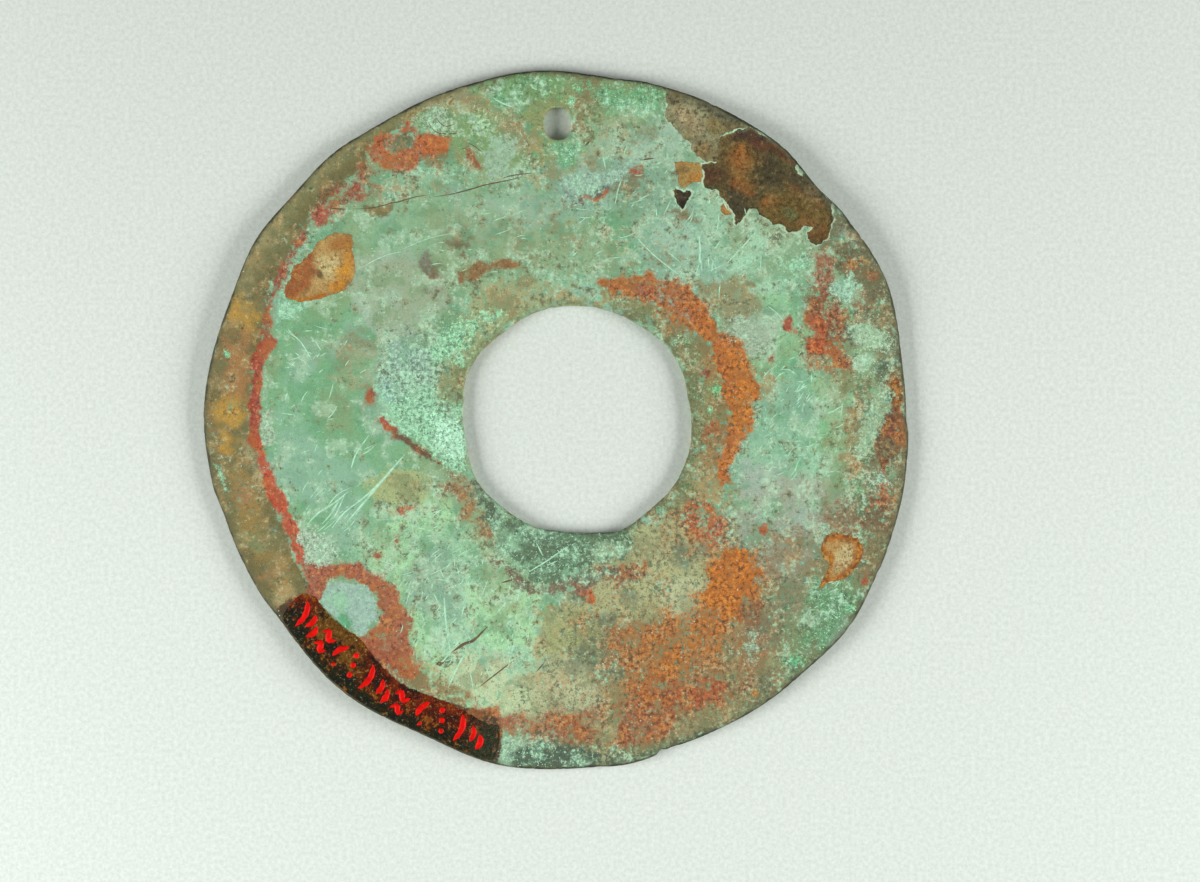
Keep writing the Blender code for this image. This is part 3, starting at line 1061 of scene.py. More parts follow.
crust = Coat(TEAL)
lay_all(crust, "crusts round the opening", [
    ((patch, "476,494 500,514 530,528 580,532 620,526 632,540 622,556 600,566 570,574 550,584 528,574 "
             "508,556 494,538 486,512"), TEAL, 1.0, 0.9),
    ((stroke, "474,480 488,508 512,524 545,534", [5, 7, 6, 4]), DARK_TEAL, 0.6, 0.8),
    ((stroke, "500,564 514,580 540,592 580,584 612,572", [3, 7, 10, 10, 8]), (116, 98, 78), 1, 0.8),
    ((spot, 542, 548, 24, 14), (86, 106, 82), 1.6, 0.85),
    ((spot, 510, 542, 12, 10), (136, 178, 144), 1.4, 0.75),
    ((stroke, "574,578 594,576 612,572", 10), (104, 106, 82), 1, 0.8),
    ((spot, 607, 550, 13, 7), CHALK, 0.8, 0.85),
    ((spot, 792, 266, 12), (146, 202, 164), 1.5, 0.6),
    ((patch, UPPER_CRYSTALS), CRYSTAL, 0.8, 0.8),
    ((patch, "376,384 400,376 430,386 436,404 452,420 462,452 462,472 446,468 428,448 404,430 384,414"),
     (148, 202, 162), 0.9, 0.85),
    ((patch, "380,372 392,352 420,344 434,362 428,388 400,398 380,392"), (150, 186, 160), 1.2, 0.80),
    ((spot, 437, 419, 14, 8, -20), (172, 226, 188), 0.8),
    ((spot, 450, 440, 13, 20, 20), (186, 238, 204), 1, 1.05),
    ((stroke, "464,350 458,380 456,412", 8), CRYSTAL, 0.9, 0.8),
    ((spot, 386, 395, 8, 7), (128, 170, 158), 0.8, 0.95),
    ((spot, 457, 384, 12, 18, 10), TEAL, 0.8, 0),
    ((spot, 405, 352, 16, 12, -30), (140, 174, 158), 1.5, 0.62),
    ((stroke, "466,330 480,322 496,314", 8), CRYSTAL, 1, 0.7),
])

# %% Pale disc, and crusts at the top
lay_all(crust, "pale disc, and crusts at the top", [
    ((patch, PALE_DISC), (150, 182, 164), 0.3),
    ((spot, 338, 604, 8, 12, 20), (140, 188, 152), 1.2, 1.05),
    ((spot, 343, 620, 10, 6, -40), (92, 158, 114), 0.6, 1.1),
    ((spot, 318, 608, 4, 7, 30), (88, 130, 100), 0.5, 0.9),
    ((patch, "561,178 574,175 600,171 627,169 623,178 603,189 585,195 570,198 561,189"),
     (150, 184, 160), 0.4, 0.9),
    ((stroke, "563,190 574,198 592,194 608,186", 5), (96, 96, 96), 0.5, 0.66),
    ((patch, TOP_EMERALD), EMERALD, 1.2, 0.7),
    ((patch, "500,76 556,74 560,96 540,106 505,104"), (108, 154, 100), 1.2, 0.6),
    ((patch, HOLE_EMERALD), EMERALD, 0.8, 0.75),
    ((spot, 572, 102, 4), (140, 215, 160), 0.5, 0.9),
    ((spot, 486, 124, 13, 11), (160, 196, 150), 1.4, 0.62),
    ((spot, 575, 88, 3.5), (130, 205, 150), 0.5, 0.9),
    ((patch, "418,116 438,108 454,124 452,138 436,134 420,126"), (158, 186, 152), 0.8, 0.75),
    ((patch, "485,142 510,138 522,150 512,172 490,178 482,160"), (150, 182, 152), 1.4, 0.72),
    ((spot, 499, 100, 10, 7), EMERALD, 1, 0.7),
])

# %% Crusts at the right and the left
lay_all(crust, "crusts at the right and the left", [
    ((patch, "812,582 838,584 852,604 846,624 826,640 806,652 800,636 812,610"),
     (104, 152, 108), 1.2, 0.66),
    ((spot, 849, 610, 4), (140, 218, 168), 0.5, 0.95),
    ((spot, 797, 662, 6, 4), (110, 190, 140), 0.7, 0.8),
    ((spot, 750, 646, 12, 8, 40), (138, 170, 144), 1.2, 0.6),
    ((spot, 871, 336, 16, 11, -20), (162, 194, 158), 1.1, 1.1),
    ((spot, 863, 362, 8, 9), (166, 198, 164), 1, 1.05),
    ((spot, 847, 291, 11, 14), (152, 194, 166), 0.9, 0.85),
    ((spot, 880, 480, 8, 5), (168, 204, 178), 0.7, 0.7),
    ((stroke, "882,394 872,422 864,450", 13), (152, 178, 142), 0.8, 0.95),
    ((stroke, "850,330 852,342", 6), (92, 98, 80), 0.6, 0.9),
    ((stroke, "884,368 894,364", 6), (84, 100, 76), 0.6, 0.85),
    ((spot, 680, 339, 6), (150, 220, 176), 0.5),
    ((spot, 710, 408, 3), (128, 208, 150), 0.4, 0.9),
    ((spot, 714, 389, 4), (112, 180, 124), 0.6, 0.8),
    ((patch, "604,664 618,650 622,670 606,684"), (124, 138, 108), 1.2, 0.5),
    ((patch, "500,737 522,736 524,760 508,768 498,755"), CHALK, 0.8, 0.75),
    ((patch, "510,752 560,742 600,752 590,768 530,772"), (72, 92, 76), 0.9, 0.85),
    ((stroke, "598,764 630,758 660,750 720,732 760,712", 5), (70, 92, 70), 0.5, 0.75),
    ((spot, 752, 332, 18, 16), (156, 180, 152), 1.5, 0.6),
    ((stroke, "612,300 660,322 692,370 698,430 680,480", 18), (108, 138, 94), 1.2, 0.2),
    ((patch, "262,414 272,412 276,430 270,442 260,438"), (158, 184, 154), 0.7, 0.85),
    ((patch, "300,532 318,528 332,545 330,562 312,566 302,552"), (166, 190, 164), 0.9, 0.8),
    ((patch, "280,302 300,304 296,316 282,322"), (150, 200, 164), 0.8, 0.8),
    ((spot, 226, 354, 2.5), (120, 210, 160), 0.3),
    ((stroke, "219,456 228,456", 3), (190, 200, 180), 0.3, 0.9),
    ((stroke, "219,468 223,480 224,488", 4), (130, 176, 138), 0.5, 0.8),
])

# %% [markdown]
# ## Bare metal and gilding
# The flake at the upper right leaves dark brown metal with an orange glow, next to a smooth
# tan skin. Small crisp patches of ochre and gold are what remains of the gilded surface.

# %% Bare metal
METALS = [
    (TAN_METAL, (142, 142, 106), 0.24, 0.6),
    (BARE_METAL, (86, 80, 50), 0.14, 1.0),
    (DARK_HEART, (60, 54, 40), 0.12, 1.0),
]
METAL_TINTS = [
    ((patch, "722,146 738,140 754,148 764,168 758,192 740,200 724,190 716,166"), (104, 86, 48), 3.2),
    ((patch, "732,154 744,146 751,158 746,172 750,184 738,188 731,172"), (140, 96, 46), 2.6),
    ((spot, 741, 160, 5, 8, 10), (160, 104, 50), 1.6),
    ((stroke, "722,168 728,180 736,196", 5), (78, 64, 42), 1),
    ((stroke, "734,182 742,190 752,192", 5), (134, 84, 42), 0.9),
    ((stroke, "760,158 776,170 790,188", 5), (104, 74, 44), 1),
    ((spot, 712, 176, 10), (92, 66, 42), 1.2),
    ((spot, 735, 202, 12, 14), (74, 68, 46), 1.4),
    ((spot, 770, 174, 14, 18), (74, 68, 44), 1.8),
    ((spot, 795, 184, 10, 12, -40), (80, 72, 48), 1.2),
    ((spot, 758, 143, 13, 5, -35), (98, 62, 42), 1),
    ((stroke, "752,132 776,148 796,164", 5), (104, 62, 40), 0.7),
    ((stroke, "790,190 806,196 820,204", 6), (122, 86, 50), 0.8),
    ((stroke, "780,204 800,208 822,212", 4), (104, 70, 48), 0.5),
    ((patch, "764,196 800,196 828,214 824,240 800,232 775,226 762,212"), (108, 88, 44), 1.4),
    ((spot, 770, 203, 8, 6), (140, 90, 40), 1.2),
    ((spot, 806, 222, 10, 8), (124, 92, 52), 1.2),
    ((spot, 790, 214, 8, 6), (96, 100, 60), 1),
    ((stroke, "732,140 748,134 766,140", 6), (72, 52, 40), 0.8),
    ((spot, 813, 192, 8, 6, -50), (100, 88, 64), 1),
    ((spot, 816, 232, 12, 9), (112, 82, 44), 1.2),
    ((patch, "674,106 688,108 702,124 698,134 686,128 676,118"), (160, 150, 112), 1.2),
    ((spot, 686, 117, 7, 4, -20), (178, 164, 124), 0.8),
    ((spot, 716, 126, 12, 8, -10), (134, 124, 80), 1),
    ((stroke, "700,104 724,116 750,122", 9), (92, 94, 74), 0.9),
    ((stroke, "706,124 722,128 740,126", 4), (148, 136, 90), 0.6),
    ((stroke, "690,136 704,142 714,140", 4), (112, 104, 80), 0.6),
    ((spot, 676, 98, 10, 8), (116, 112, 82), 1),
    ((spot, 704, 148, 9), (140, 122, 80), 1),
    ((spot, 735, 128, 12, 4, -20), (86, 84, 66), 0.8),
    ((spot, 700, 96, 12, 4, -15), (96, 94, 72), 0.8),
]
BRINK_WIDTH = 0.5
metal = Coat((92, 74, 56), ragged=0.0, spread=1.0)
# The brink is a band just outside the bare metal, where the material paints the crust's broken edge pale:
# chalky crust and painted highlight.
brink = np.zeros(corner_count)
for outline, colour, soft, strength in METALS:
    depth = patch(flake_places, outline, smooth=False)
    metal.lay(depth, colour, soft)
    brink = np.maximum(brink, strength * np.clip(1 + depth / BRINK_WIDTH, 0, 1))
tint(metal, "tints of the bare metal", METAL_TINTS)
print("Bare metal, share of corners:", round(float((metal.cover > 0.5).mean()), 3))

# %% Gilding
GILDINGS = [
    ((patch, GOLD_PATCH), (170, 140, 84), 0.16),
    ((patch, CREAM_PATCH), (172, 142, 86), 0.16),
    ((patch, OCHRE_SQUARE), (158, 130, 72), 0.14),
]
GILDING_TINTS = [
    ((patch, "298,262 314,250 318,272 308,288 290,300 284,288"), (152, 88, 46), 0.9),
    ((spot, 338, 243, 13, 7), (160, 112, 54), 0.8),
    ((spot, 328, 266, 13, 11), (192, 178, 122), 1.6),
    ((spot, 318, 284, 7, 5), (182, 156, 98), 1),
    ((spot, 346, 274, 6, 12, -20), (200, 142, 44), 1.3),
    ((spot, 350, 256, 4, 8), (184, 134, 56), 1),
    ((spot, 336, 288, 9, 4, 20), (194, 132, 38), 1),
    ((stroke, "292,300 310,300 326,296", 5), (182, 112, 32), 0.4),
    ((spot, 321, 275, 4), (92, 80, 52), 0.4),
    ((spot, 694, 178, 7, 5), (176, 128, 58), 0.6),
    ((spot, 683, 168, 5, 4), (118, 94, 54), 0.5),
    ((spot, 842, 559, 10, 13, -15), (190, 176, 126), 0.7),
    ((stroke, "828,538 846,537 860,548 855,564 844,576 826,583", 7), (172, 104, 38), 0.6),
    ((stroke, "822,548 830,562 826,580", 6), (176, 110, 36), 0.5),
]
gilding = Coat(OCHRE, ragged=0.5, spread=1.0)
lay_all(gilding, "gilded patches", GILDINGS, flake_places)
gilding.lay(spot(true_places, 727, 209, 6.5), (160, 112, 58), 0.14)
tint(gilding, "tints of the gilding", GILDING_TINTS)
print("Gilding, share of corners:", round(float((gilding.cover > 0.5).mean()), 3))

# %% [markdown]
# ## What lies under what
# Flakes took every coat with them, so the other coats are thinned there. Dabs of mint that
# stayed on the bare metal are put back last. The underside is kept plain: a drift of the same
# coats, placed by slow noise alone.

# %% Thin the coats
CHIPS = [(799, 171, 6, 3, -50), (833, 208, 2, 4)]
UNDER_STRIP = (
    "303,593 322,606 347,630 373,656 404,685 451,703 499,720 492,770 440,762 380,735 320,690 "
    "280,640 276,612")
HAZE_FALL = 0.14
RED_THROUGH = 0.35

for chip in CHIPS:
    metal.thin(spot(flake_places, *chip), 0.2)
crust.thin(patch(stain_places, "388,146 396,134 410,132 412,140 402,152 392,154"), 0.4)
oxide.thin(spot(stain_places, 401, 143, 13, 8, 25), 0.6, 0.3)
oxide.thin(patch(stain_places, PALE_DISC), 0.3)

under_strip = patch(true_places, UNDER_STRIP)
for coat in (film, oxide):
    coat.lay(under_strip, (70, 54, 38), 0.25)
crust.thin(under_strip, 0.25)
oxide.cover -= HAZE_FALL * (1 - eased(oxide.cover / 0.4))
red_all_through = RED_THROUGH * eased((oxide.cover - 0.45) / 0.35)
crust.cover -= np.where(crust.cover < 0.3, red_all_through, 0)
print("Dabs put back on the metal:", len(CHIPS))

# %% [markdown]
# Some fields of the metal are calm and others are broken up into fine grains. Each outline here
# takes some liveliness off the fine noise of the material, or adds some with a minus.

# %% Calm and lively fields
LIVELINESS = 1.15
CALM = [
    (LEFT_FIELD, 1.5, 0.30),
    ("345,215 420,203 520,190 560,205 540,245 450,262 430,320 370,320 350,280 350,235", 2.0, 0.30),
    (PALE_DISC, 0.5, 0.60),
    ("482,140 510,136 522,150 514,174 488,180 480,160", 1.0, 0.50),
    (LEFT_BAND, 1.0, 0.12),
    ("600,560 700,500 790,600 780,700 680,756 540,760 540,680", 3.0, -0.32),
    ("850,220 912,300 912,480 870,620 830,560 850,420 840,300", 2.0, -0.42),
    ("600,281 660,277 710,300 757,384 749,430 725,486 720,400 694,330 640,297", 1.0, -0.22),
    ("380,384 400,350 470,321 460,380 462,470 428,448", 1.5, -0.35),
    ("800,290 846,286 858,320 856,366 820,364 800,340", 1.5, -0.30),
    ("600,290 660,308 702,348 724,410 716,470 690,522 656,532 680,470 692,410 672,350 640,318", 1.5, -0.12),
    ("745,300 800,296 850,360 846,440 820,505 745,500 760,400", 2.0, 0.12),
    ("395,520 440,512 500,590 545,640 530,705 440,692 395,600", 2.0, 0.05),
    ("738,622 772,622 776,662 744,668", 1.0, 0.40),
    ("560,150 660,142 720,214 820,252 800,300 720,290 640,272 560,250", 1.5, 0.05),
    ("852,322 888,320 892,350 872,376 852,372 848,344", 1.0, 0.60),
    ("834,274 860,272 864,304 838,308", 1.0, 0.50),
    ("880,386 884,400 872,452 856,456 862,400", 1.0, 0.40),
]
lively = np.ones(corner_count)
for outline, soft, much in CALM:
    lively -= much * eased(0.5 + patch(true_places, outline) / (2 * soft))
lively *= LIVELINESS
print("Liveliness:", round(float(lively.min()), 2), "to", round(float(lively.max()), 2))

# %% Edges and underside
EDGE_MARGIN = 1.25
OPENING_MARGIN = 0.8
OPENING_SHARE = 0.62

away, bearings = polar(true_places)
to_rim = around(rim_loop, bearings, polar(rim_loop)[0]) - away
to_opening = away - around(opening_loop, bearings, polar(opening_loop)[0])
# Closeness to the rim and the opening, where the material darkens the colour: soil, and painted shade where
# the edges fall away.
margin = np.clip(1 - to_rim / EDGE_MARGIN, 0, 1)
margin = np.maximum(margin, OPENING_SHARE * np.clip(1 - to_opening / OPENING_MARGIN, 0, 1))

under = 1 - on_face
slow = waves_at(true_places, 0.11, 7.0)
slower = waves_at(true_places, 0.06, 19.0)
under_coats = ((film, TAN, slow, 0.42), (oxide, RUST, -slow, 0.30), (crust, TEAL, slower, 0.22))
for coat, plain, wave, level in under_coats:
    plain_cover = np.clip(level + 0.35 * wave, 0, 0.9)
    coat.cover = coat.cover * on_face + plain_cover * under
    coat.colour = coat.colour * on_face[:, None] + paint(*plain) * under[:, None]
metal.cover *= on_face
gilding.cover *= on_face
print("Underside, share of corners:", round(float((under > 0.5).mean()), 3))

# %% [markdown]
# ## Relief
# The hammer left shallow dents. Corrosion left a rough skin that stands a tenth of a millimetre
# over the bare metal, with thicker crusts and lifted rims round the ochre patches. All of it is
# worked out at the corners of the face, so the shape is in the mesh and not only in the shading.

# %% Work the relief
DENT_DEPTH = 0.03
SKIN_ROUGHNESS = 0.014
CRUST_HEIGHT = 0.07
OXIDE_DEPTH = 0.035
FLAKE_DEPTH = 0.13
SKIN_STEP = 0.05
LIP_HEIGHT = 0.13
HOLE_ROUNDING = 0.22

dents = waves_at(true_places, 0.16, 3.0, octaves=2)
rough = waves_at(true_places, 1.3, 5.0)
lumps = waves_at(true_places, 0.7, 11.0)
bare = eased(metal.cover)
tan_skin = eased(0.5 + patch(flake_places, TAN_METAL, smooth=False) / 0.3)
lip = np.zeros(corner_count)
for outline, strength in ((CREAM_PATCH, 1.0), (GOLD_PATCH, 0.5)):
    depth = patch(flake_places, outline)
    lip = np.maximum(lip, strength * np.exp(-((depth - 0.28) / 0.32) ** 2))

relief = DENT_DEPTH * dents + SKIN_ROUGHNESS * rough * (1 - bare)
relief += CRUST_HEIGHT * eased((crust.cover - 0.3) / 0.5) * (0.6 + 0.9 * lumps) * (1 - bare)
relief -= OXIDE_DEPTH * eased((oxide.cover - 0.3) / 0.4) * (0.8 + 0.8 * rough) * (1 - bare)
relief -= (FLAKE_DEPTH - (FLAKE_DEPTH - SKIN_STEP) * tan_skin) * bare
relief += LIP_HEIGHT * lip * (0.7 + 0.5 * lumps)

fall = np.clip(1 - from_hole(true_places) / HOLE_ROUNDING, 0, 1)
rounding = HOLE_ROUNDING * (1 - np.sqrt(1 - fall**2))
print("Relief on the face, mm:", round(float(relief.min()), 3), "to", round(float(relief.max()), 3))

# %% Move the corners
SINK = 0.005
NOTCH = ((661, 752), 0.45, 0.9)
NICK_DEPTH = 0.11

worked = corners.copy()
from_edge = eased(np.minimum(to_rim, to_opening) / 0.9)
worked[:, 2] += on_face * relief * from_edge - on_face * rounding
worked[:, 2] += under * np.clip(DENT_DEPTH * (1 + dents), 0, None) * from_edge
worked[:, 2] += rise(true_places)

bites = waves_at(true_places, 0.7, 41.0) + 0.5 * waves_at(true_places, 2.1, 43.0)
nicks = NICK_DEPTH * np.clip(bites, 0, 1.2)
notch_place, notch_depth, notch_reach = NOTCH
from_notch = np.hypot(*(true_places - seen([notch_place])).T)
nicks += notch_depth * eased(1 - from_notch / notch_reach)
outward = true_places / np.hypot(*true_places.T)[:, None]
for distance, way in ((to_rim, -1), (to_opening, 1)):
    worked[:, :2] += way * outward * (nicks * eased(1 - distance / 0.8))[:, None]
low, high = (np.array(corner) / MM for corner in cad_box)
worked[:, 2] = np.clip(worked[:, 2], 0, high[2] - SINK)
worked[:, :2] = np.clip(worked[:, :2], low[:2] + SINK, high[:2] - SINK)
mesh.vertices.foreach_set("co", (worked * MM).ravel())
mesh.update()
print("Deepest bite into the edges, mm:", round(float(nicks.max()), 2))

# %% Keep the coats on the mesh
KINDS = {1: ("FLOAT", "value"), 3: ("FLOAT_VECTOR", "vector"), 4: ("FLOAT_COLOR", "color")}


def keep(mesh, name, values):
    """Keeps numbers, places or colours at a mesh's corners."""
    rows = values.reshape(len(mesh.vertices), -1).astype(np.float32)
    kind, field = KINDS[rows.shape[1]]
    mesh.attributes.new(name, kind, "POINT").data.foreach_set(field, rows.ravel())


def skin_places():
    """Places for the pattern: over the edges it runs on outwards, so the walls don't streak."""
    drop = THICKNESS - corners[:, 2]
    at_edge = eased(1 - to_rim) - eased(1 - to_opening)
    spread = true_places + outward * (drop * at_edge)[:, None]
    return np.column_stack((spread, np.zeros(corner_count)))


coats = {"ground": ground, "film": film, "oxide": oxide, "crust": crust, "metal": metal,
         "gilding": gilding}
for name, coat in coats.items():
    keep(mesh, name + "_colour", np.column_stack((coat.colour, np.ones(corner_count))))
    keep(mesh, name + "_cover", coat.cover)
fields = {"margin": margin, "brink": brink, "lively": lively, "lip": lip}
for name, values in fields.items():
    keep(mesh, name, values)
keep(mesh, "skin_place", skin_places())
mesh.shade_smooth()
mesh.set_sharp_from_angle(angle=math.radians(50))
print("Coats and fields kept:", len(coats), "and", len(fields))

# %% [markdown]
# ## The corroded copper material
# One material holds all the coats, in the order in which they lie. Each coat reads its colour
# and its cover from the mesh, shakes the cover with noise of several sizes, and is laid over
# what is already there. Fine noise also lightens and darkens every coat, because no patch of
# corrosion is one flat colour.

# %% Shades, tints and covers


def attribute(tree, name, output="Fac"):
    """What the mesh keeps under a name, as a number."""
    return add(tree, "ShaderNodeAttribute", attribute_name=name).outputs[output]


def shaded(tree, colour, *shades):
    """The colour made lighter and darker by noise; each shade is (noise, how much)."""
    total = 1.0
    for pattern, much in shades:
        total = plus(tree, total, pattern, much)
    return scaled(tree, colour, total)


def plain(tree, colour, *shades):
    return shaded(tree, tuple(paint(*colour)), *shades)


def touched(tree, colour, share, much, tint):
    """The colour drawn towards a tint, as far as a share says."""
    return mixed(tree, times(tree, share, much), colour, paint(*tint))


def toned(tree, colour, *tones):
    """The colour touched with tints; each is (noise, low, high, how much, tint)."""
    for pattern, low, high, much, tint in tones:
        colour = touched(tree, colour, ramped(tree, pattern, low, high), much, tint)
    return colour


def shaken(tree, cover, width, *shakes):
    """The share of a coat that shows: its cover shaken by noise, cut off at one half."""
    total = cover
    for pattern, much in shakes:
        total = plus(tree, total, pattern, much)
    return ramped(tree, total, 0.5 - width, 0.5 + width)


def coat_colour(tree, name, shades, *tones):
    return toned(tree, shaded(tree, attribute(tree, name + "_colour", "Color"), *shades), *tones)


def coat_share(tree, name, width, *shakes):
    return shaken(tree, attribute(tree, name + "_cover"), width, *shakes)


# %% Noises of the skin
SKIN_NOISES = {
    "drift": (0.07, 5.0, 0.55, 91.0),
    "blotch": (0.20, 7.0, 0.60, 3.0),
    "cloud": (0.33, 7.0, 0.62, 71.0),
    "stains": (0.45, 7.0, 0.7, 59.0),
    "mottle": (0.8, 6.0, 0.7, 11.0),
    "flecks": (1.5, 5.0, 0.75, 47.0),
    "grit": (2.4, 4.0, 0.7, 23.0),
    "dust": (5.5, 2.0, 0.6, 31.0),
}
CALMED = ("cloud", "mottle", "flecks", "grit", "dust")


def skin_noises(tree):
    """The noises by name, from slow to fine, and some mixtures of them."""
    place = attribute(tree, "skin_place", "Vector")
    lively = attribute(tree, "lively")
    n = SimpleNamespace(place=place)
    for name, values in SKIN_NOISES.items():
        noise = speckle(tree, place, *values)
        setattr(n, name, times(tree, noise, lively) if name in CALMED else noise)
    n.sparkle = plus(tree, n.flecks, n.cloud, 0.5)
    n.pits = plus(tree, n.flecks, n.stains, -0.6)
    calm = sums(tree, "SUBTRACT", LIVELINESS, lively)
    soiled = plus(tree, plus(tree, n.stains, n.mottle, 0.5), n.blotch, -0.7)
    n.soiled = sums(tree, "SUBTRACT", soiled, calm)
    n.clustered = sums(tree, "ADD", plus(tree, n.pits, n.blotch, 0.7), calm)
    return n


def cells(tree, place, scale, channel):
    """Small cells: a chance value for each, and how far a place is from its middle."""
    inputs = {"Vector": place, "Scale": scale}
    found = add(tree, "ShaderNodeTexVoronoi", inputs, voronoi_dimensions="2D").outputs
    parts = add(tree, "ShaderNodeSeparateColor", {0: found["Color"]}).outputs
    return parts[channel], found["Distance"]


# %% Ground and film


def ground_colour(tree, n):
    shades = [(n.drift, 0.05), (n.mottle, 0.08), (n.grit, 0.08), (n.dust, 0.10)]
    return coat_colour(
        tree, "ground", shades,
        (n.blotch, 0.0, 0.6, 0.60, (100, 152, 112)),
        (n.drift, 0.1, 0.7, 0.38, (154, 186, 172)),
        (n.drift, -0.1, -0.7, 0.38, (144, 152, 104)),
        (n.cloud, 0.05, 0.7, 0.55, (170, 201, 168)),
        (n.soiled, 0.35, 1.10, 0.55, (148, 138, 98)),
        (n.mottle, -0.3, -0.9, 0.45, (104, 152, 118)),
        (n.sparkle, 0.4, 1.1, 0.60, (184, 228, 192)),
        (n.clustered, -0.7, -1.4, 0.70, (80, 98, 72)))


def with_film(tree, n, below):
    share = coat_share(
        tree, "film", 0.32, (n.blotch, 0.22), (n.mottle, 0.36), (n.grit, 0.18), (n.dust, 0.06))
    shades = [(n.stains, 0.12), (n.mottle, 0.12), (n.grit, 0.12), (n.dust, 0.12)]
    colour = coat_colour(
        tree, "film", shades,
        (n.cloud, 0.1, 0.7, 0.40, (176, 140, 78)),
        (n.blotch, 0.1, 0.6, 0.45, (110, 112, 76)),
        (n.sparkle, 0.6, 1.2, 0.5, (190, 186, 142)),
        (n.pits, -0.5, -1.1, 0.6, (76, 70, 48)))
    return mixed(tree, times(tree, share, 0.92), below, colour)


# %% Oxide and crust


def with_oxide(tree, n, below):
    share = coat_share(
        tree, "oxide", 0.36, (n.cloud, 0.26), (n.mottle, 0.20), (n.grit, 0.20), (n.dust, 0.12))
    shades = [(n.stains, 0.14), (n.flecks, 0.14), (n.grit, 0.14), (n.dust, 0.14)]
    colour = coat_colour(
        tree, "oxide", shades,
        (n.blotch, 0.1, 0.7, 0.45, (186, 112, 50)),
        (n.stains, -0.1, -0.8, 0.34, (138, 82, 44)),
        (n.sparkle, 0.6, 1.2, 0.45, (212, 156, 70)),
        (n.pits, -0.4, -1.0, 0.7, (76, 50, 36)))
    return mixed(tree, times(tree, share, 0.94), below, colour)


def with_crust(tree, n, below):
    """Crust in small cells, and a few dark dots over all that lies so far."""
    share = coat_share(
        tree, "crust", 0.24, (n.stains, 0.25), (n.mottle, 0.36), (n.grit, 0.24), (n.dust, 0.10))
    cell_tone = sums(tree, "SUBTRACT", cells(tree, n.place, 2.6, 0)[0], 0.5)
    shades = [(cell_tone, 0.3), (n.flecks, 0.18), (n.grit, 0.16), (n.dust, 0.16)]
    colour = coat_colour(
        tree, "crust", shades,
        (n.cloud, 0.1, 0.8, 0.35, (150, 204, 166)),
        (n.sparkle, 0.5, 1.1, 0.68, (188, 236, 200)),
        (n.pits, -0.5, -1.2, 0.6, (84, 104, 84)))
    colour = mixed(tree, times(tree, share, 0.95), below, colour)
    chance, away = cells(tree, n.place, 1.6, 1)
    size = plus(tree, plus(tree, -0.19, chance, 0.26), n.stains, 0.20)
    dots = ramped(tree, sums(tree, "SUBTRACT", size, away), -0.04, 0.06)
    return touched(tree, colour, dots, 0.55, (62, 54, 36))


# %% Gilding, bare metal, and edges darkened by soil, wear and painted shade


def with_gilding(tree, n, below):
    """Gilding with burnt and bright crumbs on its lip, and a brown rind with painted shade along its edge.
    """
    share = coat_share(tree, "gilding", 0.12, (n.grit, 0.12))
    shades = [(n.mottle, 0.12), (n.flecks, 0.14), (n.grit, 0.16), (n.dust, 0.16)]
    colour = coat_colour(
        tree, "gilding", shades,
        (n.mottle, 0.1, 0.9, 0.55, (142, 90, 42)),
        (n.sparkle, -0.3, -1.0, 0.40, (214, 184, 104)),
        (n.pits, -0.4, -1.0, 0.7, (96, 66, 36)))
    lip = attribute(tree, "lip")
    crumbs = plus(tree, n.flecks, n.stains, 0.4)
    burnt = times(tree, lip, ramped(tree, crumbs, -0.3, 0.5))
    bright = times(tree, lip, ramped(tree, crumbs, -0.3, -0.9))
    colour = touched(tree, colour, burnt, 0.85, (96, 56, 24))
    colour = touched(tree, colour, bright, 0.7, (216, 146, 44))
    # A brown rind and painted shade darken the gilding along its edge, where its cover is near one half.
    from_middle = sums(tree, "ABSOLUTE", plus(tree, -1.0, attribute(tree, "gilding_cover"), 2.0))
    rind_and_edge_shade = plus(tree, sums(tree, "SUBTRACT", 1.0, from_middle), n.flecks, 0.25)
    colour = touched(tree, colour, ramped(tree, rind_and_edge_shade, 0.1, 0.8), 0.7, (112, 72, 36))
    return mixed(tree, share, below, colour)


def with_metal(tree, n, below):
    """Bare metal with a pale brink round it, chalky crust and painted highlight; also returns the share
    that it covers.
    """
    # Chalky crust and painted highlight: the crust's broken edge round the bare metal is drawn pale, as if
    # it caught the light.
    brink = attribute(tree, "brink")
    ragged = ramped(tree, plus(tree, brink, n.mottle, 0.45), 0.3, 0.9)
    chalk_and_highlight = times(tree, times(tree, ramped(tree, brink, 0.0, 0.3), 0.85), ragged)
    below = mixed(tree, chalk_and_highlight, below, paint(186, 214, 178))
    share = coat_share(tree, "metal", 0.10, (n.grit, 0.08))
    shades = [(n.stains, 0.16), (n.mottle, 0.20), (n.flecks, 0.16), (n.grit, 0.18), (n.dust, 0.14)]
    colour = coat_colour(
        tree, "metal", shades,
        (n.cloud, 0.1, 0.8, 0.35, (122, 104, 60)),
        (n.pits, -0.3, -1.0, 0.60, (48, 44, 28)),
        (n.sparkle, 0.7, 1.3, 0.6, (150, 136, 84)))
    return mixed(tree, share, below, colour), share


def with_soiled_shaded_edges(tree, n, below):
    # Soil and painted shade: a band along the rim and the opening is darkened towards olive, and a dark
    # line of wear and painted shade runs along the very edge.
    margin = attribute(tree, "margin")
    soil_and_shade = ramped(tree, plus(tree, margin, n.mottle, 0.30), 0.2, 0.9)
    wear_and_edge_shade = plus(tree, plus(tree, margin, n.flecks, 0.05), n.stains, 0.16)
    colour = touched(tree, below, soil_and_shade, 0.6, (88, 90, 62))
    return touched(tree, colour, ramped(tree, wear_and_edge_shade, 0.72, 0.92), 0.85, (50, 52, 38))


# %% Corroded copper


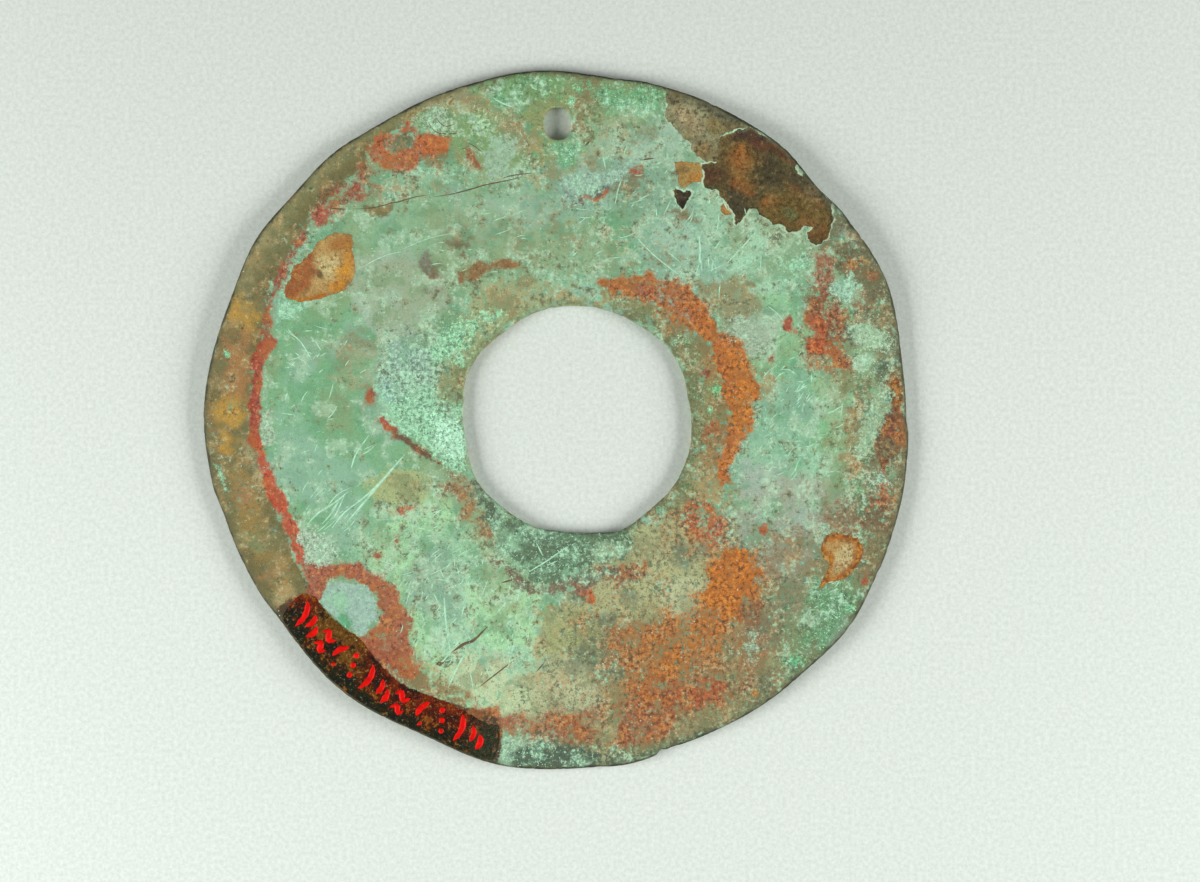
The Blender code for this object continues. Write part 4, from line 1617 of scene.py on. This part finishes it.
def corroded_copper():
    material, tree, shader, _ = new_material("corroded_copper")
    n = skin_noises(tree)
    colour = ground_colour(tree, n)
    for next_coat in (with_film, with_oxide, with_crust, with_gilding):
        colour = next_coat(tree, n, colour)
    colour, metal_share = with_metal(tree, n, colour)
    feed(tree, shader, {
        "Base Color": with_soiled_shaded_edges(tree, n, colour),
        "Roughness": plus(tree, plus(tree, 0.78, n.grit, 0.08), metal_share, -0.3),
        "Metallic": times(tree, metal_share, 0.3),
        "Specular IOR Level": 0.3,
        "Normal": bumps(tree, plus(tree, n.grit, n.dust, 0.4), 0.5, 0.03),
    })
    return material


mesh.materials.clear()
mesh.materials.append(corroded_copper())
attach(corroded_plaque, "root")
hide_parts("plaque")
bpy.context.view_layer.update()
print("Nodes of the material:", len(mesh.materials[0].node_tree.nodes))

# %% [markdown]
# ## Geometry trees
# Everything that is laid on the face in numbers, such as scratches, cracks, paint and grains of
# crust, is made by Geometry Nodes. Two helpers build a tree with named inputs and run it once:
# the result becomes a plain mesh, so nothing live is left on the finished piece.

# %% Build and run a geometry tree


def new_tree(name, inputs):
    """A geometry tree with named inputs, given as (name, socket kind, value or None)."""
    tree = bpy.data.node_groups.new(name, "GeometryNodeTree")
    tree.interface.new_socket("Geometry", in_out="INPUT", socket_type="NodeSocketGeometry")
    tree.interface.new_socket("Geometry", in_out="OUTPUT", socket_type="NodeSocketGeometry")
    for label, kind, value in inputs:
        socket = tree.interface.new_socket(label, in_out="INPUT", socket_type="NodeSocket" + kind)
        if value is not None:
            socket.default_value = value
    return tree, tree.nodes.new("NodeGroupInput").outputs


def end_tree(tree, geometry, material):
    """Ends a tree in Realize Instances and Set Material."""
    real = add(tree, "GeometryNodeRealizeInstances", {"Geometry": geometry}).outputs[0]
    painted = add(tree, "GeometryNodeSetMaterial", {"Geometry": real, "Material": material})
    add(tree, "NodeGroupOutput", {0: painted.outputs[0]})


def grown(name, start, tree, values):
    """Runs a tree on some data and returns the result as a plain mesh object."""
    holder = placed(name + "_start", start)
    grower = holder.modifiers.new(name, "NODES")
    grower.node_group = tree
    for item in tree.interface.items_tree:
        if item.in_out == "INPUT" and item.name in values:
            grower[item.identifier] = values[item.name]
    evaluated = holder.evaluated_get(bpy.context.evaluated_depsgraph_get())
    made = bpy.data.meshes.new_from_object(evaluated)
    bpy.data.objects.remove(holder)
    print(name + ":", len(made.polygons), "faces")
    return placed(name, made)


def dressed(piece):
    piece.data.shade_smooth()
    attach(piece, "root")
    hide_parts("plaque")
    return piece


# %% [markdown]
# ## Lines laid on the face
# A scratch, a crack and a brush stroke have one thing in common: each is a thin line that
# follows the face. So one tree makes them all. It sweeps a small circle along each curve,
# looks straight down for the face below every point, and sets the point there, flattened.

# %% The tree for laid lines
LINE_SIDES = 6
LOOK_FROM = 0.01


def laid_lines_tree():
    inputs = [("Surface", "Object", None), ("Flatness", "Float", 0.2), ("Finish", "Material", None)]
    tree, given = new_tree("laid_lines", inputs)
    profile = add(tree, "GeometryNodeCurvePrimitiveCircle", {"Resolution": LINE_SIDES, "Radius": 1.0})
    width = tree.nodes.new("GeometryNodeInputRadius").outputs[0]
    swept = add(tree, "GeometryNodeCurveToMesh", {
        "Curve": given["Geometry"], "Profile Curve": profile.outputs[0], "Scale": width, "Fill Caps": True})
    surface = add(tree, "GeometryNodeObjectInfo", {"Object": given["Surface"]}).outputs["Geometry"]
    here = tree.nodes.new("GeometryNodeInputPosition").outputs[0]
    parts = add(tree, "ShaderNodeSeparateXYZ", {0: here}).outputs
    above = add(tree, "ShaderNodeCombineXYZ", {0: parts[0], 1: parts[1], 2: LOOK_FROM}).outputs[0]
    down = add(tree, "GeometryNodeRaycast", {
        "Target Geometry": surface, "Source Position": above, "Ray Direction": (0, 0, -1),
        "Ray Length": 2 * LOOK_FROM})
    found = add(tree, "ShaderNodeSeparateXYZ", {0: down.outputs["Hit Position"]}).outputs[2]
    height = plus(tree, found, parts[2], given["Flatness"])
    place = add(tree, "ShaderNodeCombineXYZ", {0: parts[0], 1: parts[1], 2: height}).outputs[0]
    laid = add(tree, "GeometryNodeSetPosition", {
        "Geometry": swept.outputs[0], "Selection": down.outputs["Is Hit"], "Position": place})
    end_tree(tree, laid.outputs[0], given["Finish"])
    return tree


laid_lines = laid_lines_tree()
print("Nodes of the tree for laid lines:", len(laid_lines.nodes))

# %% Curves for the tree to sweep
LINE_STEP = 0.35
POINTED = 0.85


def drawn_curves(name, lines):
    """Curves in metres from lines of (points in pixels, width in pixels), thinner at their ends."""
    curves = bpy.data.curves.new(name, "CURVE")
    curves.dimensions = "3D"
    for points, width in lines:
        places = seen(points)
        length = np.hypot(*np.diff(places, axis=0).T).sum()
        count = max(4, int(length / LINE_STEP))
        line = smooth_line(places, count)
        share = np.linspace(-1, 1, count)
        half = width / PIXELS_PER_MM / 2 * (1 - POINTED * np.abs(share) ** 3)
        half *= 1 + 0.3 * np.array([noise.noise((x * 2, y * 2, 0)) for x, y in line])
        spline = curves.splines.new("POLY")
        spline.points.add(count - 1)
        for point, (x, y), radius in zip(spline.points, line, half):
            point.co = (x * MM, y * MM, 0, 1)
            point.radius = radius * MM
    return curves


# %% [markdown]
# ## Grains of crust
# The thick crusts are made of small crystals, and the eye needs a few of them in the round. A
# second tree scatters points on the face, more of them where the crust is thick, and sets a
# small flattened grain on each, with a turn and a size of its own.

# %% Crystal grains
GRAINS_PER_MM2 = 9.0
GRAIN_RADIUS = 0.10
GRAIN_SEED = 4
STRAY_GRAINS = 0.015
GRAINS_FADE = 1.2
GRAINY = [
    ((patch, UPPER_CRYSTALS), 1),
    ((patch, "386,388 400,376 430,380 446,404 456,430 466,470 448,468 428,448 404,430"), 1),
    ((patch, "484,500 510,520 540,532 600,530 632,536 610,560 560,572 520,584 500,562 488,530"), 0.6),
    ((patch, "812,582 838,584 852,604 846,624 826,640 806,652 800,636"), 1),
    ((patch, TOP_EMERALD), 0.8),
    ((patch, HOLE_EMERALD), 0.9),
    ((patch, "500,738 524,740 560,752 540,766 506,766"), 0.8),
    ((patch, "418,110 452,112 456,134 430,134"), 0.5),
    ((patch, "864,326 884,326 888,346 872,372 860,366"), 0.8),
    ((spot, 680, 339, 5), 1.6),
    ((spot, 572, 102, 4), 1.4),
    ((spot, 575, 88, 3), 1.4),
    ((spot, 849, 610, 4), 1.6),
    ((spot, 710, 408, 3), 1.2),
    ((spot, 840, 291, 10), 0.6),
    ((spot, 880, 478, 8), 0.9),
    ((patch, "690,215 740,225 800,245 820,255 790,270 720,262"), 0.15),
    ((patch, "745,330 840,370 850,460 780,490 750,420"), 0.12),
    ((patch, "410,530 500,580 530,640 500,700 430,670 400,600"), 0.10),
]


def grain_density():
    """How thick the grains lie at each corner, from 0 to about 1."""
    dense = np.full(corner_count, STRAY_GRAINS)
    for (kind, *values), much in GRAINY:
        depth = kind(stain_places, *values)
        dense = np.maximum(dense, much * eased(0.5 + depth / GRAINS_FADE))
    clumps = eased(0.5 + 0.9 * waves_at(true_places, 1.1, 53.0))
    inner = eased(np.minimum(to_rim, to_opening) / 0.5)
    return dense * clumps * inner * (on_face > 0.9) * (metal.cover < 0.1) * (gilding.cover < 0.1)


def chance(tree, least, most):
    """Three numbers by chance, other ones on each grain."""
    inputs = {"Min": least, "Max": most}
    return add(tree, "FunctionNodeRandomValue", inputs, data_type="FLOAT_VECTOR").outputs[0]


def grains_tree():
    inputs = [("Density", "Float", GRAINS_PER_MM2), ("Radius", "Float", GRAIN_RADIUS * MM),
              ("Seed", "Int", GRAIN_SEED), ("Finish", "Material", None)]
    tree, given = new_tree("crystal_grains", inputs)
    named = add(tree, "GeometryNodeInputNamedAttribute", {"Name": "grains"}, data_type="FLOAT")
    density = times(tree, named.outputs[0], given["Density"])
    points = add(tree, "GeometryNodeDistributePointsOnFaces", {
        "Mesh": given["Geometry"], "Density": density, "Seed": given["Seed"]})
    grain = add(tree, "GeometryNodeMeshIcoSphere", {"Radius": given["Radius"], "Subdivisions": 1})
    size = chance(tree, (0.3, 0.3, 0.2), (1.6, 1.2, 0.7))
    turn = chance(tree, (0, 0, 0), (0.6, 0.6, FULL_TURN))
    set_out = add(tree, "GeometryNodeInstanceOnPoints", {
        "Points": points.outputs["Points"], "Instance": grain.outputs[0],
        "Rotation": turn, "Scale": size})
    end_tree(tree, set_out.outputs[0], given["Finish"])
    return tree


def crystal():
    """Small mint and white crystals: each place has a tint of its own."""
    material, tree, shader, place = new_material("crystal")
    tint = speckle(tree, place, 1.4, 4.0, 0.8, 17.0)
    colour = mixed(tree, ramped(tree, tint, -0.6, 0.8), paint(112, 172, 130), paint(196, 240, 208))
    colour = toned(tree, colour, (tint, -0.4, -1.0, 0.6, (100, 136, 104)))
    feed(tree, shader, {"Base Color": colour, "Roughness": 0.55})
    return material


keep(mesh, "grains", grain_density())
grain_values = {"Density": GRAINS_PER_MM2 / MM**2, "Radius": GRAIN_RADIUS * MM, "Finish": crystal()}
dressed(grown("crystal_grains", mesh, grains_tree(), grain_values))
mesh.attributes.remove(mesh.attributes["grains"])

# %% [markdown]
# ## Scratches and cracks
# Bright mint scratches cut the green skin, mostly at the left and the lower left. Two long
# dark cracks cross the top, and a few brown dashes lie further down.

# %% Scratches and cracks
SCRATCHES = [
    ("405,454 386,476 366,500 347,522", 2.4), ("398,462 370,492 345,512 332,528", 1.8),
    ("349,491 334,503 318,513 308,524", 2.0), ("340,500 330,515 322,524", 1.4),
    ("344,496 336,514 330,520", 1.3), ("322,482 315,492 310,498", 1.3), ("350,488 338,494 326,508", 1.2),
    ("369,435 356,454 351,469", 1.6), ("635,236 655,256 683,278", 1.3), ("699,234 700,250 699,263", 1.6),
    ("744,245 727,263", 1.5), ("757,230 744,245 736,252", 1.5), ("720,241 714,250", 1.3),
    ("708,256 709,269", 1.1), ("668,252 680,262", 1.1), ("444,597 446,621 450,650", 1.8),
    ("466,595 464,606 461,619", 1.3), ("435,669 444,660 453,649", 1.5), ("448,688 457,668 466,652", 1.6),
    ("527,573 548,560 571,544", 1.6), ("536,542 540,550 544,558", 1.4), ("492,97 502,103 516,108", 1.7),
    ("419,410 424,404 431,402 431,396", 1.6), ("410,368 406,380", 1.3), ("795,392 806,386", 1.4),
    ("828,414 842,406", 1.3), ("768,306 778,314 784,322", 1.3), ("380,560 396,566", 1.1),
    ("430,575 448,566", 1.1), ("285,330 300,341 312,360", 1.2), ("400,250 430,238 460,232", 0.7),
    ("356,270 384,256 404,251", 0.9), ("460,640 446,655", 1.2), ("560,560 545,566", 1.0),
    ("615,205 618,190 622,178", 1.1), ("700,255 702,272", 1.0),
]
CRACKS = [
    ("329,208 338,209 347,209", 1.3), ("352,209 372,208 392,203 398,202 415,197 428,195", 1.2),
    ("433,197 452,194 470,189.5 485,185 505,181 522,177", 1.4), ("503,178 515,175 534,173", 1.1),
    ("452,652 464,644 474,640 487,627", 3.0), ("436,664 440,664 444,662", 3.4),
    ("478,688 496,674 514,660", 1.3), ("536,672 545,662", 1.3), ("642,160 655,158", 1.5),
    ("436,118 444,126 456,124", 0.9), ("428,122 436,132 450,134 462,132", 0.9),
    ("466,142 474,146 482,152", 0.9), ("585,146 590,141", 2.0), ("501,583 515,579", 1.8),
]


def thin_skin(name, colour, roughness, shine=0.5):
    """A plain mineral finish for thin lines: one tone, shaded by fine noise."""
    material, tree, shader, place = new_material(name)
    grain = speckle(tree, place, 1.2, 4.0, 0.6, 5.0)
    feed(tree, shader, {
        "Base Color": plain(tree, colour, (grain, 0.2)), "Roughness": roughness,
        "Specular IOR Level": shine, "Normal": bumps(tree, grain, 0.4, 0.02)})
    return material


def lay_lines(name, lines, finish, flatness, surface):
    values = {"Surface": surface, "Flatness": flatness, "Finish": finish}
    return dressed(grown(name, drawn_curves(name, lines), laid_lines, values))


# %% [markdown]
# Besides the scratches that can be told apart there are swarms of very fine ones. Each swarm
# is a place, a reach, a number of lines and the way that most of them run.

# %% Swarms of fine scratches
SWARM_SEED = 11
SWARMS = [
    (800, 435, 52, 46, 40, 55), (795, 375, 34, 16, 50, 50), (335, 400, 62, 30, 40, 40),
    (465, 620, 66, 84, 75, 50), (720, 245, 48, 24, 80, 60), (330, 500, 34, 20, 45, 18),
    (470, 240, 60, 14, 15, 25), (300, 340, 26, 12, -35, 25), (600, 215, 50, 12, 20, 40),
    (425, 550, 40, 26, 30, 50), (640, 180, 40, 12, 60, 50), (830, 600, 26, 12, 30, 60),
]


def swarm_lines():
    chance = np.random.default_rng(SWARM_SEED)
    lines = []
    for x, y, reach, count, way, spread in SWARMS:
        for _ in range(count):
            away = reach * math.sqrt(chance.random())
            bearing = chance.random() * FULL_TURN
            middle = np.array((x + away * math.cos(bearing), y + away * math.sin(bearing)))
            turn = math.radians(-way + spread * chance.normal() / 2)
            half = 2.5 + 7 * chance.random() ** 2
            run = half * np.array((math.cos(turn), math.sin(turn)))
            bow = chance.normal() * 0.12 * np.array((-run[1], run[0]))
            points = [tuple(middle - run), tuple(middle + bow), tuple(middle + run)]
            lines.append((points, 0.7 + 0.5 * chance.random()))
    return lines


mint_scratch = thin_skin("mint_scratch", (166, 216, 182), 0.8)
lay_lines("fine_scratches", swarm_lines(), mint_scratch, 0.10, corroded_plaque)
dark_crack = thin_skin("dark_crack", (98, 82, 54), 0.8)
lay_lines("scratch_marks", SCRATCHES, mint_scratch, 0.12, corroded_plaque)
lay_lines("crack_lines", CRACKS, dark_crack, 0.12, corroded_plaque)

# %% [markdown]
# ## Lacquer strip
# A strip of dark brown lacquer was brushed along the lower left of the rim. It is glossy and
# thin, and follows the face. Its lower side runs along the rim and its upper side is drawn.
# Rows between the two are laid on the face with a ray each, and the strip gets a thin
# closed body of its own, because its gloss sets it off from the matt corrosion round it.

# %% Lacquer strip
STRIP_START, STRIP_END = (286.5, 617), (492, 760)
STRIP_TOP = (
    "303,593 315,596 322,606 334,620 347,630 362,640 373,656 388,672 404,685 428,695 451,704 467,712 "
    "482,721 499,727")
STRIP_LENGTH_STEPS = 260
STRIP_WIDTH_STEPS = 30
LACQUER_HEIGHT = 0.04
LACQUER_SUNK = 0.04
LACQUER_INSET = 0.06
RAY_FROM = 10.0


def lacquer_rows():
    """Places of the strip in mm, from the rim to its upper side, and their shares each way."""
    first, last = (polar(seen([end]))[1][0] for end in (STRIP_START, STRIP_END))
    turns = np.linspace(first, last, STRIP_LENGTH_STEPS)
    reach = around(rim_loop, turns, polar(rim_loop)[0]) - LACQUER_INSET
    low = np.column_stack((np.cos(turns), np.sin(turns))) * reach[:, None]
    top = smooth_line(seen(STRIP_TOP), STRIP_LENGTH_STEPS)
    ruffle = np.array([noise.fractal((x * 0.9, y * 0.9, 4.0), 0.7, 2.0, 5) for x, y in top])
    inwards = (low - top) / np.hypot(*(low - top).T)[:, None]
    top = top + 0.24 * ruffle[:, None] * inwards
    across = np.linspace(0, 1, STRIP_WIDTH_STEPS)
    places = low[:, None] + (top - low)[:, None] * across[None, :, None]
    bulge = 0.5 * (1 - (2 * across - 1) ** 2)
    along = places[1] - places[0], places[-2] - places[-1]
    for end, step in zip((0, -1), along):
        outward = -step / np.hypot(*step.T)[:, None]
        places[end] += outward * bulge[:, None]
    return places


def face_heights(piece, places):
    """Heights of a piece's face at places in mm, and whether there is a face."""
    tree = BVHTree.FromObject(piece, bpy.context.evaluated_depsgraph_get())
    heights = np.full(len(places), np.nan)
    for index, (x, y) in enumerate(places):
        hit = tree.ray_cast((x * MM, y * MM, RAY_FROM * MM), (0, 0, -1))[0]
        if hit:
            heights[index] = hit.z / MM
    return heights


def lacquer_strip():
    places = lacquer_rows()
    long, wide = places.shape[:2]
    flat = places.reshape(-1, 2)
    heights = face_heights(corroded_plaque, flat)
    heights = np.where(np.isnan(heights), np.nanmean(heights), heights).reshape(long, wide)
    for _ in range(2):
        heights[1:-1] = (heights[:-2] + 2 * heights[1:-1] + heights[2:]) / 4
    across = np.minimum(np.arange(wide), wide - 1 - np.arange(wide))
    along = np.minimum(np.arange(long), long - 1 - np.arange(long))
    body = eased(across / 4)[None, :] * eased(along / 16)[:, None]
    upper = heights + LACQUER_HEIGHT * (0.1 + 0.9 * body)
    lower = heights - LACQUER_SUNK
    points = np.vstack([
        np.column_stack((flat, upper.ravel())), np.column_stack((flat, lower.ravel()))]) * MM
    index = np.arange(long * wide).reshape(long, wide)
    quads = (index[:-1, :-1], index[1:, :-1], index[1:, 1:], index[:-1, 1:])
    corner = np.stack(quads, axis=2).reshape(-1, 4)
    ring = np.concatenate((index[:, 0], index[-1, 1:], index[-2::-1, -1], index[0, -2:0:-1]))
    after = np.roll(ring, -1)
    under = long * wide
    walls = np.column_stack((ring, ring + under, after + under, after))
    faces = np.vstack((corner, corner[:, ::-1] + under, walls))
    strip_mesh = bpy.data.meshes.new("lacquer_strip")
    strip_mesh.from_pydata(points, [], faces)
    shape = bmesh.new()
    shape.from_mesh(strip_mesh)
    turned_outward(shape, strip_mesh)
    share = np.broadcast_to(np.linspace(0, 1, wide), (long, wide)).ravel()
    length = np.repeat(np.linspace(0, 1, long), wide)
    keep(strip_mesh, "across", np.tile(share, 2))
    keep(strip_mesh, "along", np.tile(length, 2))
    print("Lacquer strip:", len(strip_mesh.polygons), "faces")
    return placed("lacquer_strip", strip_mesh)


# %% Old lacquer


def old_lacquer():
    """Brown lacquer over corrosion: dark where thick, amber and red-brown where thin."""
    material, tree, shader, place = new_material("old_lacquer")
    pools = speckle(tree, place, 0.45, 6.0, 0.7, 13.0)
    grain = speckle(tree, place, 2.0, 5.0, 0.75, 29.0)
    dust = speckle(tree, place, 5.0, 2.0, 0.6, 37.0)
    across = attribute(tree, "across")
    along = attribute(tree, "along")
    height = plus(tree, across, pools, 0.45)
    thin = plus(tree, pools, grain, 0.7)

    green_black = plain(tree, (30, 32, 16), (pools, 0.3), (grain, 0.35), (dust, 0.3))
    brown = plain(tree, (68, 23, 6), (pools, 0.35), (grain, 0.35), (dust, 0.3))
    rust = plain(tree, (108, 36, 9), (pools, 0.25), (grain, 0.3), (dust, 0.25))
    ochre = plain(tree, (112, 80, 24), (grain, 0.4))
    dull_green = plain(tree, (46, 52, 34), (grain, 0.5), (dust, 0.5))

    streak = times(tree, ramped(tree, height, 0.60, 1.05), ramped(tree, along, 0.25, 0.7))
    first_end = times(tree, ramped(tree, height, 0.3, 0.9), ramped(tree, along, 0.22, 0.02))
    red = times(tree, sums(tree, "MAXIMUM", streak, first_end), 0.85)
    band = times(tree, ramped(tree, along, 0.10, 0.20), ramped(tree, along, 0.46, 0.34))
    band = times(tree, times(tree, band, ramped(tree, height, 0.36, 0.62)), 0.6)
    far_end = times(tree, ramped(tree, along, 0.84, 0.96), 0.85)

    colour = mixed(tree, ramped(tree, height, 0.10, 0.60), green_black, brown)
    colour = mixed(tree, red, colour, rust)
    colour = toned(tree, colour, (thin, 0.45, 1.10, 0.62, (146, 90, 18)))
    colour = mixed(tree, band, colour, ochre)
    # Pale green specks over the lacquer: corrosion showing through, and painted glints on its gloss.
    specks_and_glints = plus(tree, grain, dust, 0.5)
    colour = toned(tree, colour,
                   (thin, -0.30, -0.90, 0.70, (22, 22, 16)),
                   (specks_and_glints, 0.80, 1.20, 0.50, (140, 152, 108)))
    feed(tree, shader, {
        "Base Color": mixed(tree, far_end, colour, dull_green),
        "Roughness": 0.42, "Specular IOR Level": 0.12, "Coat Weight": 0.12, "Coat Roughness": 0.15,
        "Normal": bumps(tree, plus(tree, grain, dust, 0.3), 0.5, 0.03)})
    return material


strip = lacquer_strip()
strip.data.materials.append(old_lacquer())
dressed(strip).data.set_sharp_from_angle(angle=math.radians(30))

# %% [markdown]
# ## Brush marks on the lacquer
# A row of short red brush marks stands on the strip: hooks, waves and dots, which say nothing.
# A loop sets them along the middle of the strip and turns each with it, and the tree for laid
# lines does the rest, with a rounder body, because paint stands up more than a scratch.

# %% Red brush marks
MARK_COUNT = 12
MARK_WIDTH = 6.0
MARK_SIZE = 14.0
MARK_SHAPES = [
    [[(-0.35, -1.0), (0.12, -0.45), (0.28, 0.2), (0.1, 0.95)]],
    [[(-0.6, -0.7), (-0.25, -0.2), (-0.4, 0.4)], [(0.3, -0.3), (0.6, 0.2), (0.4, 0.8)]],
    [[(-0.75, -0.4), (-0.3, -0.75), (0.2, -0.25), (0.75, -0.6)],
     [(-0.6, 0.6), (-0.1, 0.25), (0.3, 0.7), (0.7, 0.4)]],
    [[(0.45, -0.9), (-0.1, -0.3), (-0.25, 0.35)], [(0.25, 0.7), (0.45, 0.85)]],
    [[(-0.55, -0.8), (-0.1, -0.55)], [(-0.2, -0.1), (0.3, 0.1)], [(0.15, 0.6), (0.6, 0.8)]],
]


def brush_marks():
    """Lines of the marks, in pixels: each shape is turned to stand across the strip."""
    places = lacquer_rows()
    middle = places[:, STRIP_WIDTH_STEPS // 2]
    lines = []
    for mark in range(MARK_COUNT):
        step = int((mark + 0.9) / (MARK_COUNT + 1) * (STRIP_LENGTH_STEPS - 1))
        along = middle[min(step + 4, STRIP_LENGTH_STEPS - 1)] - middle[step - 4]
        along = along / np.hypot(*along)
        upward = np.array((-along[1], along[0]))
        for points in MARK_SHAPES[mark % len(MARK_SHAPES)]:
            size = MARK_SIZE / PIXELS_PER_MM
            spots = [middle[step] + size * (0.75 * x * along - y * upward) for x, y in points]
            pixels = [(PLAQUE_MIDDLE_SEEN[0] + x * PIXELS_PER_MM, PLAQUE_MIDDLE_SEEN[1] - y * PIXELS_PER_MM)
                      for x, y in spots]
            lines.append((pixels, MARK_WIDTH))
    return lines


red_paint = thin_skin("red_paint", (212, 14, 6), 0.5, 0.12)
lay_lines("red_brush_marks", brush_marks(), red_paint, 0.18, strip)
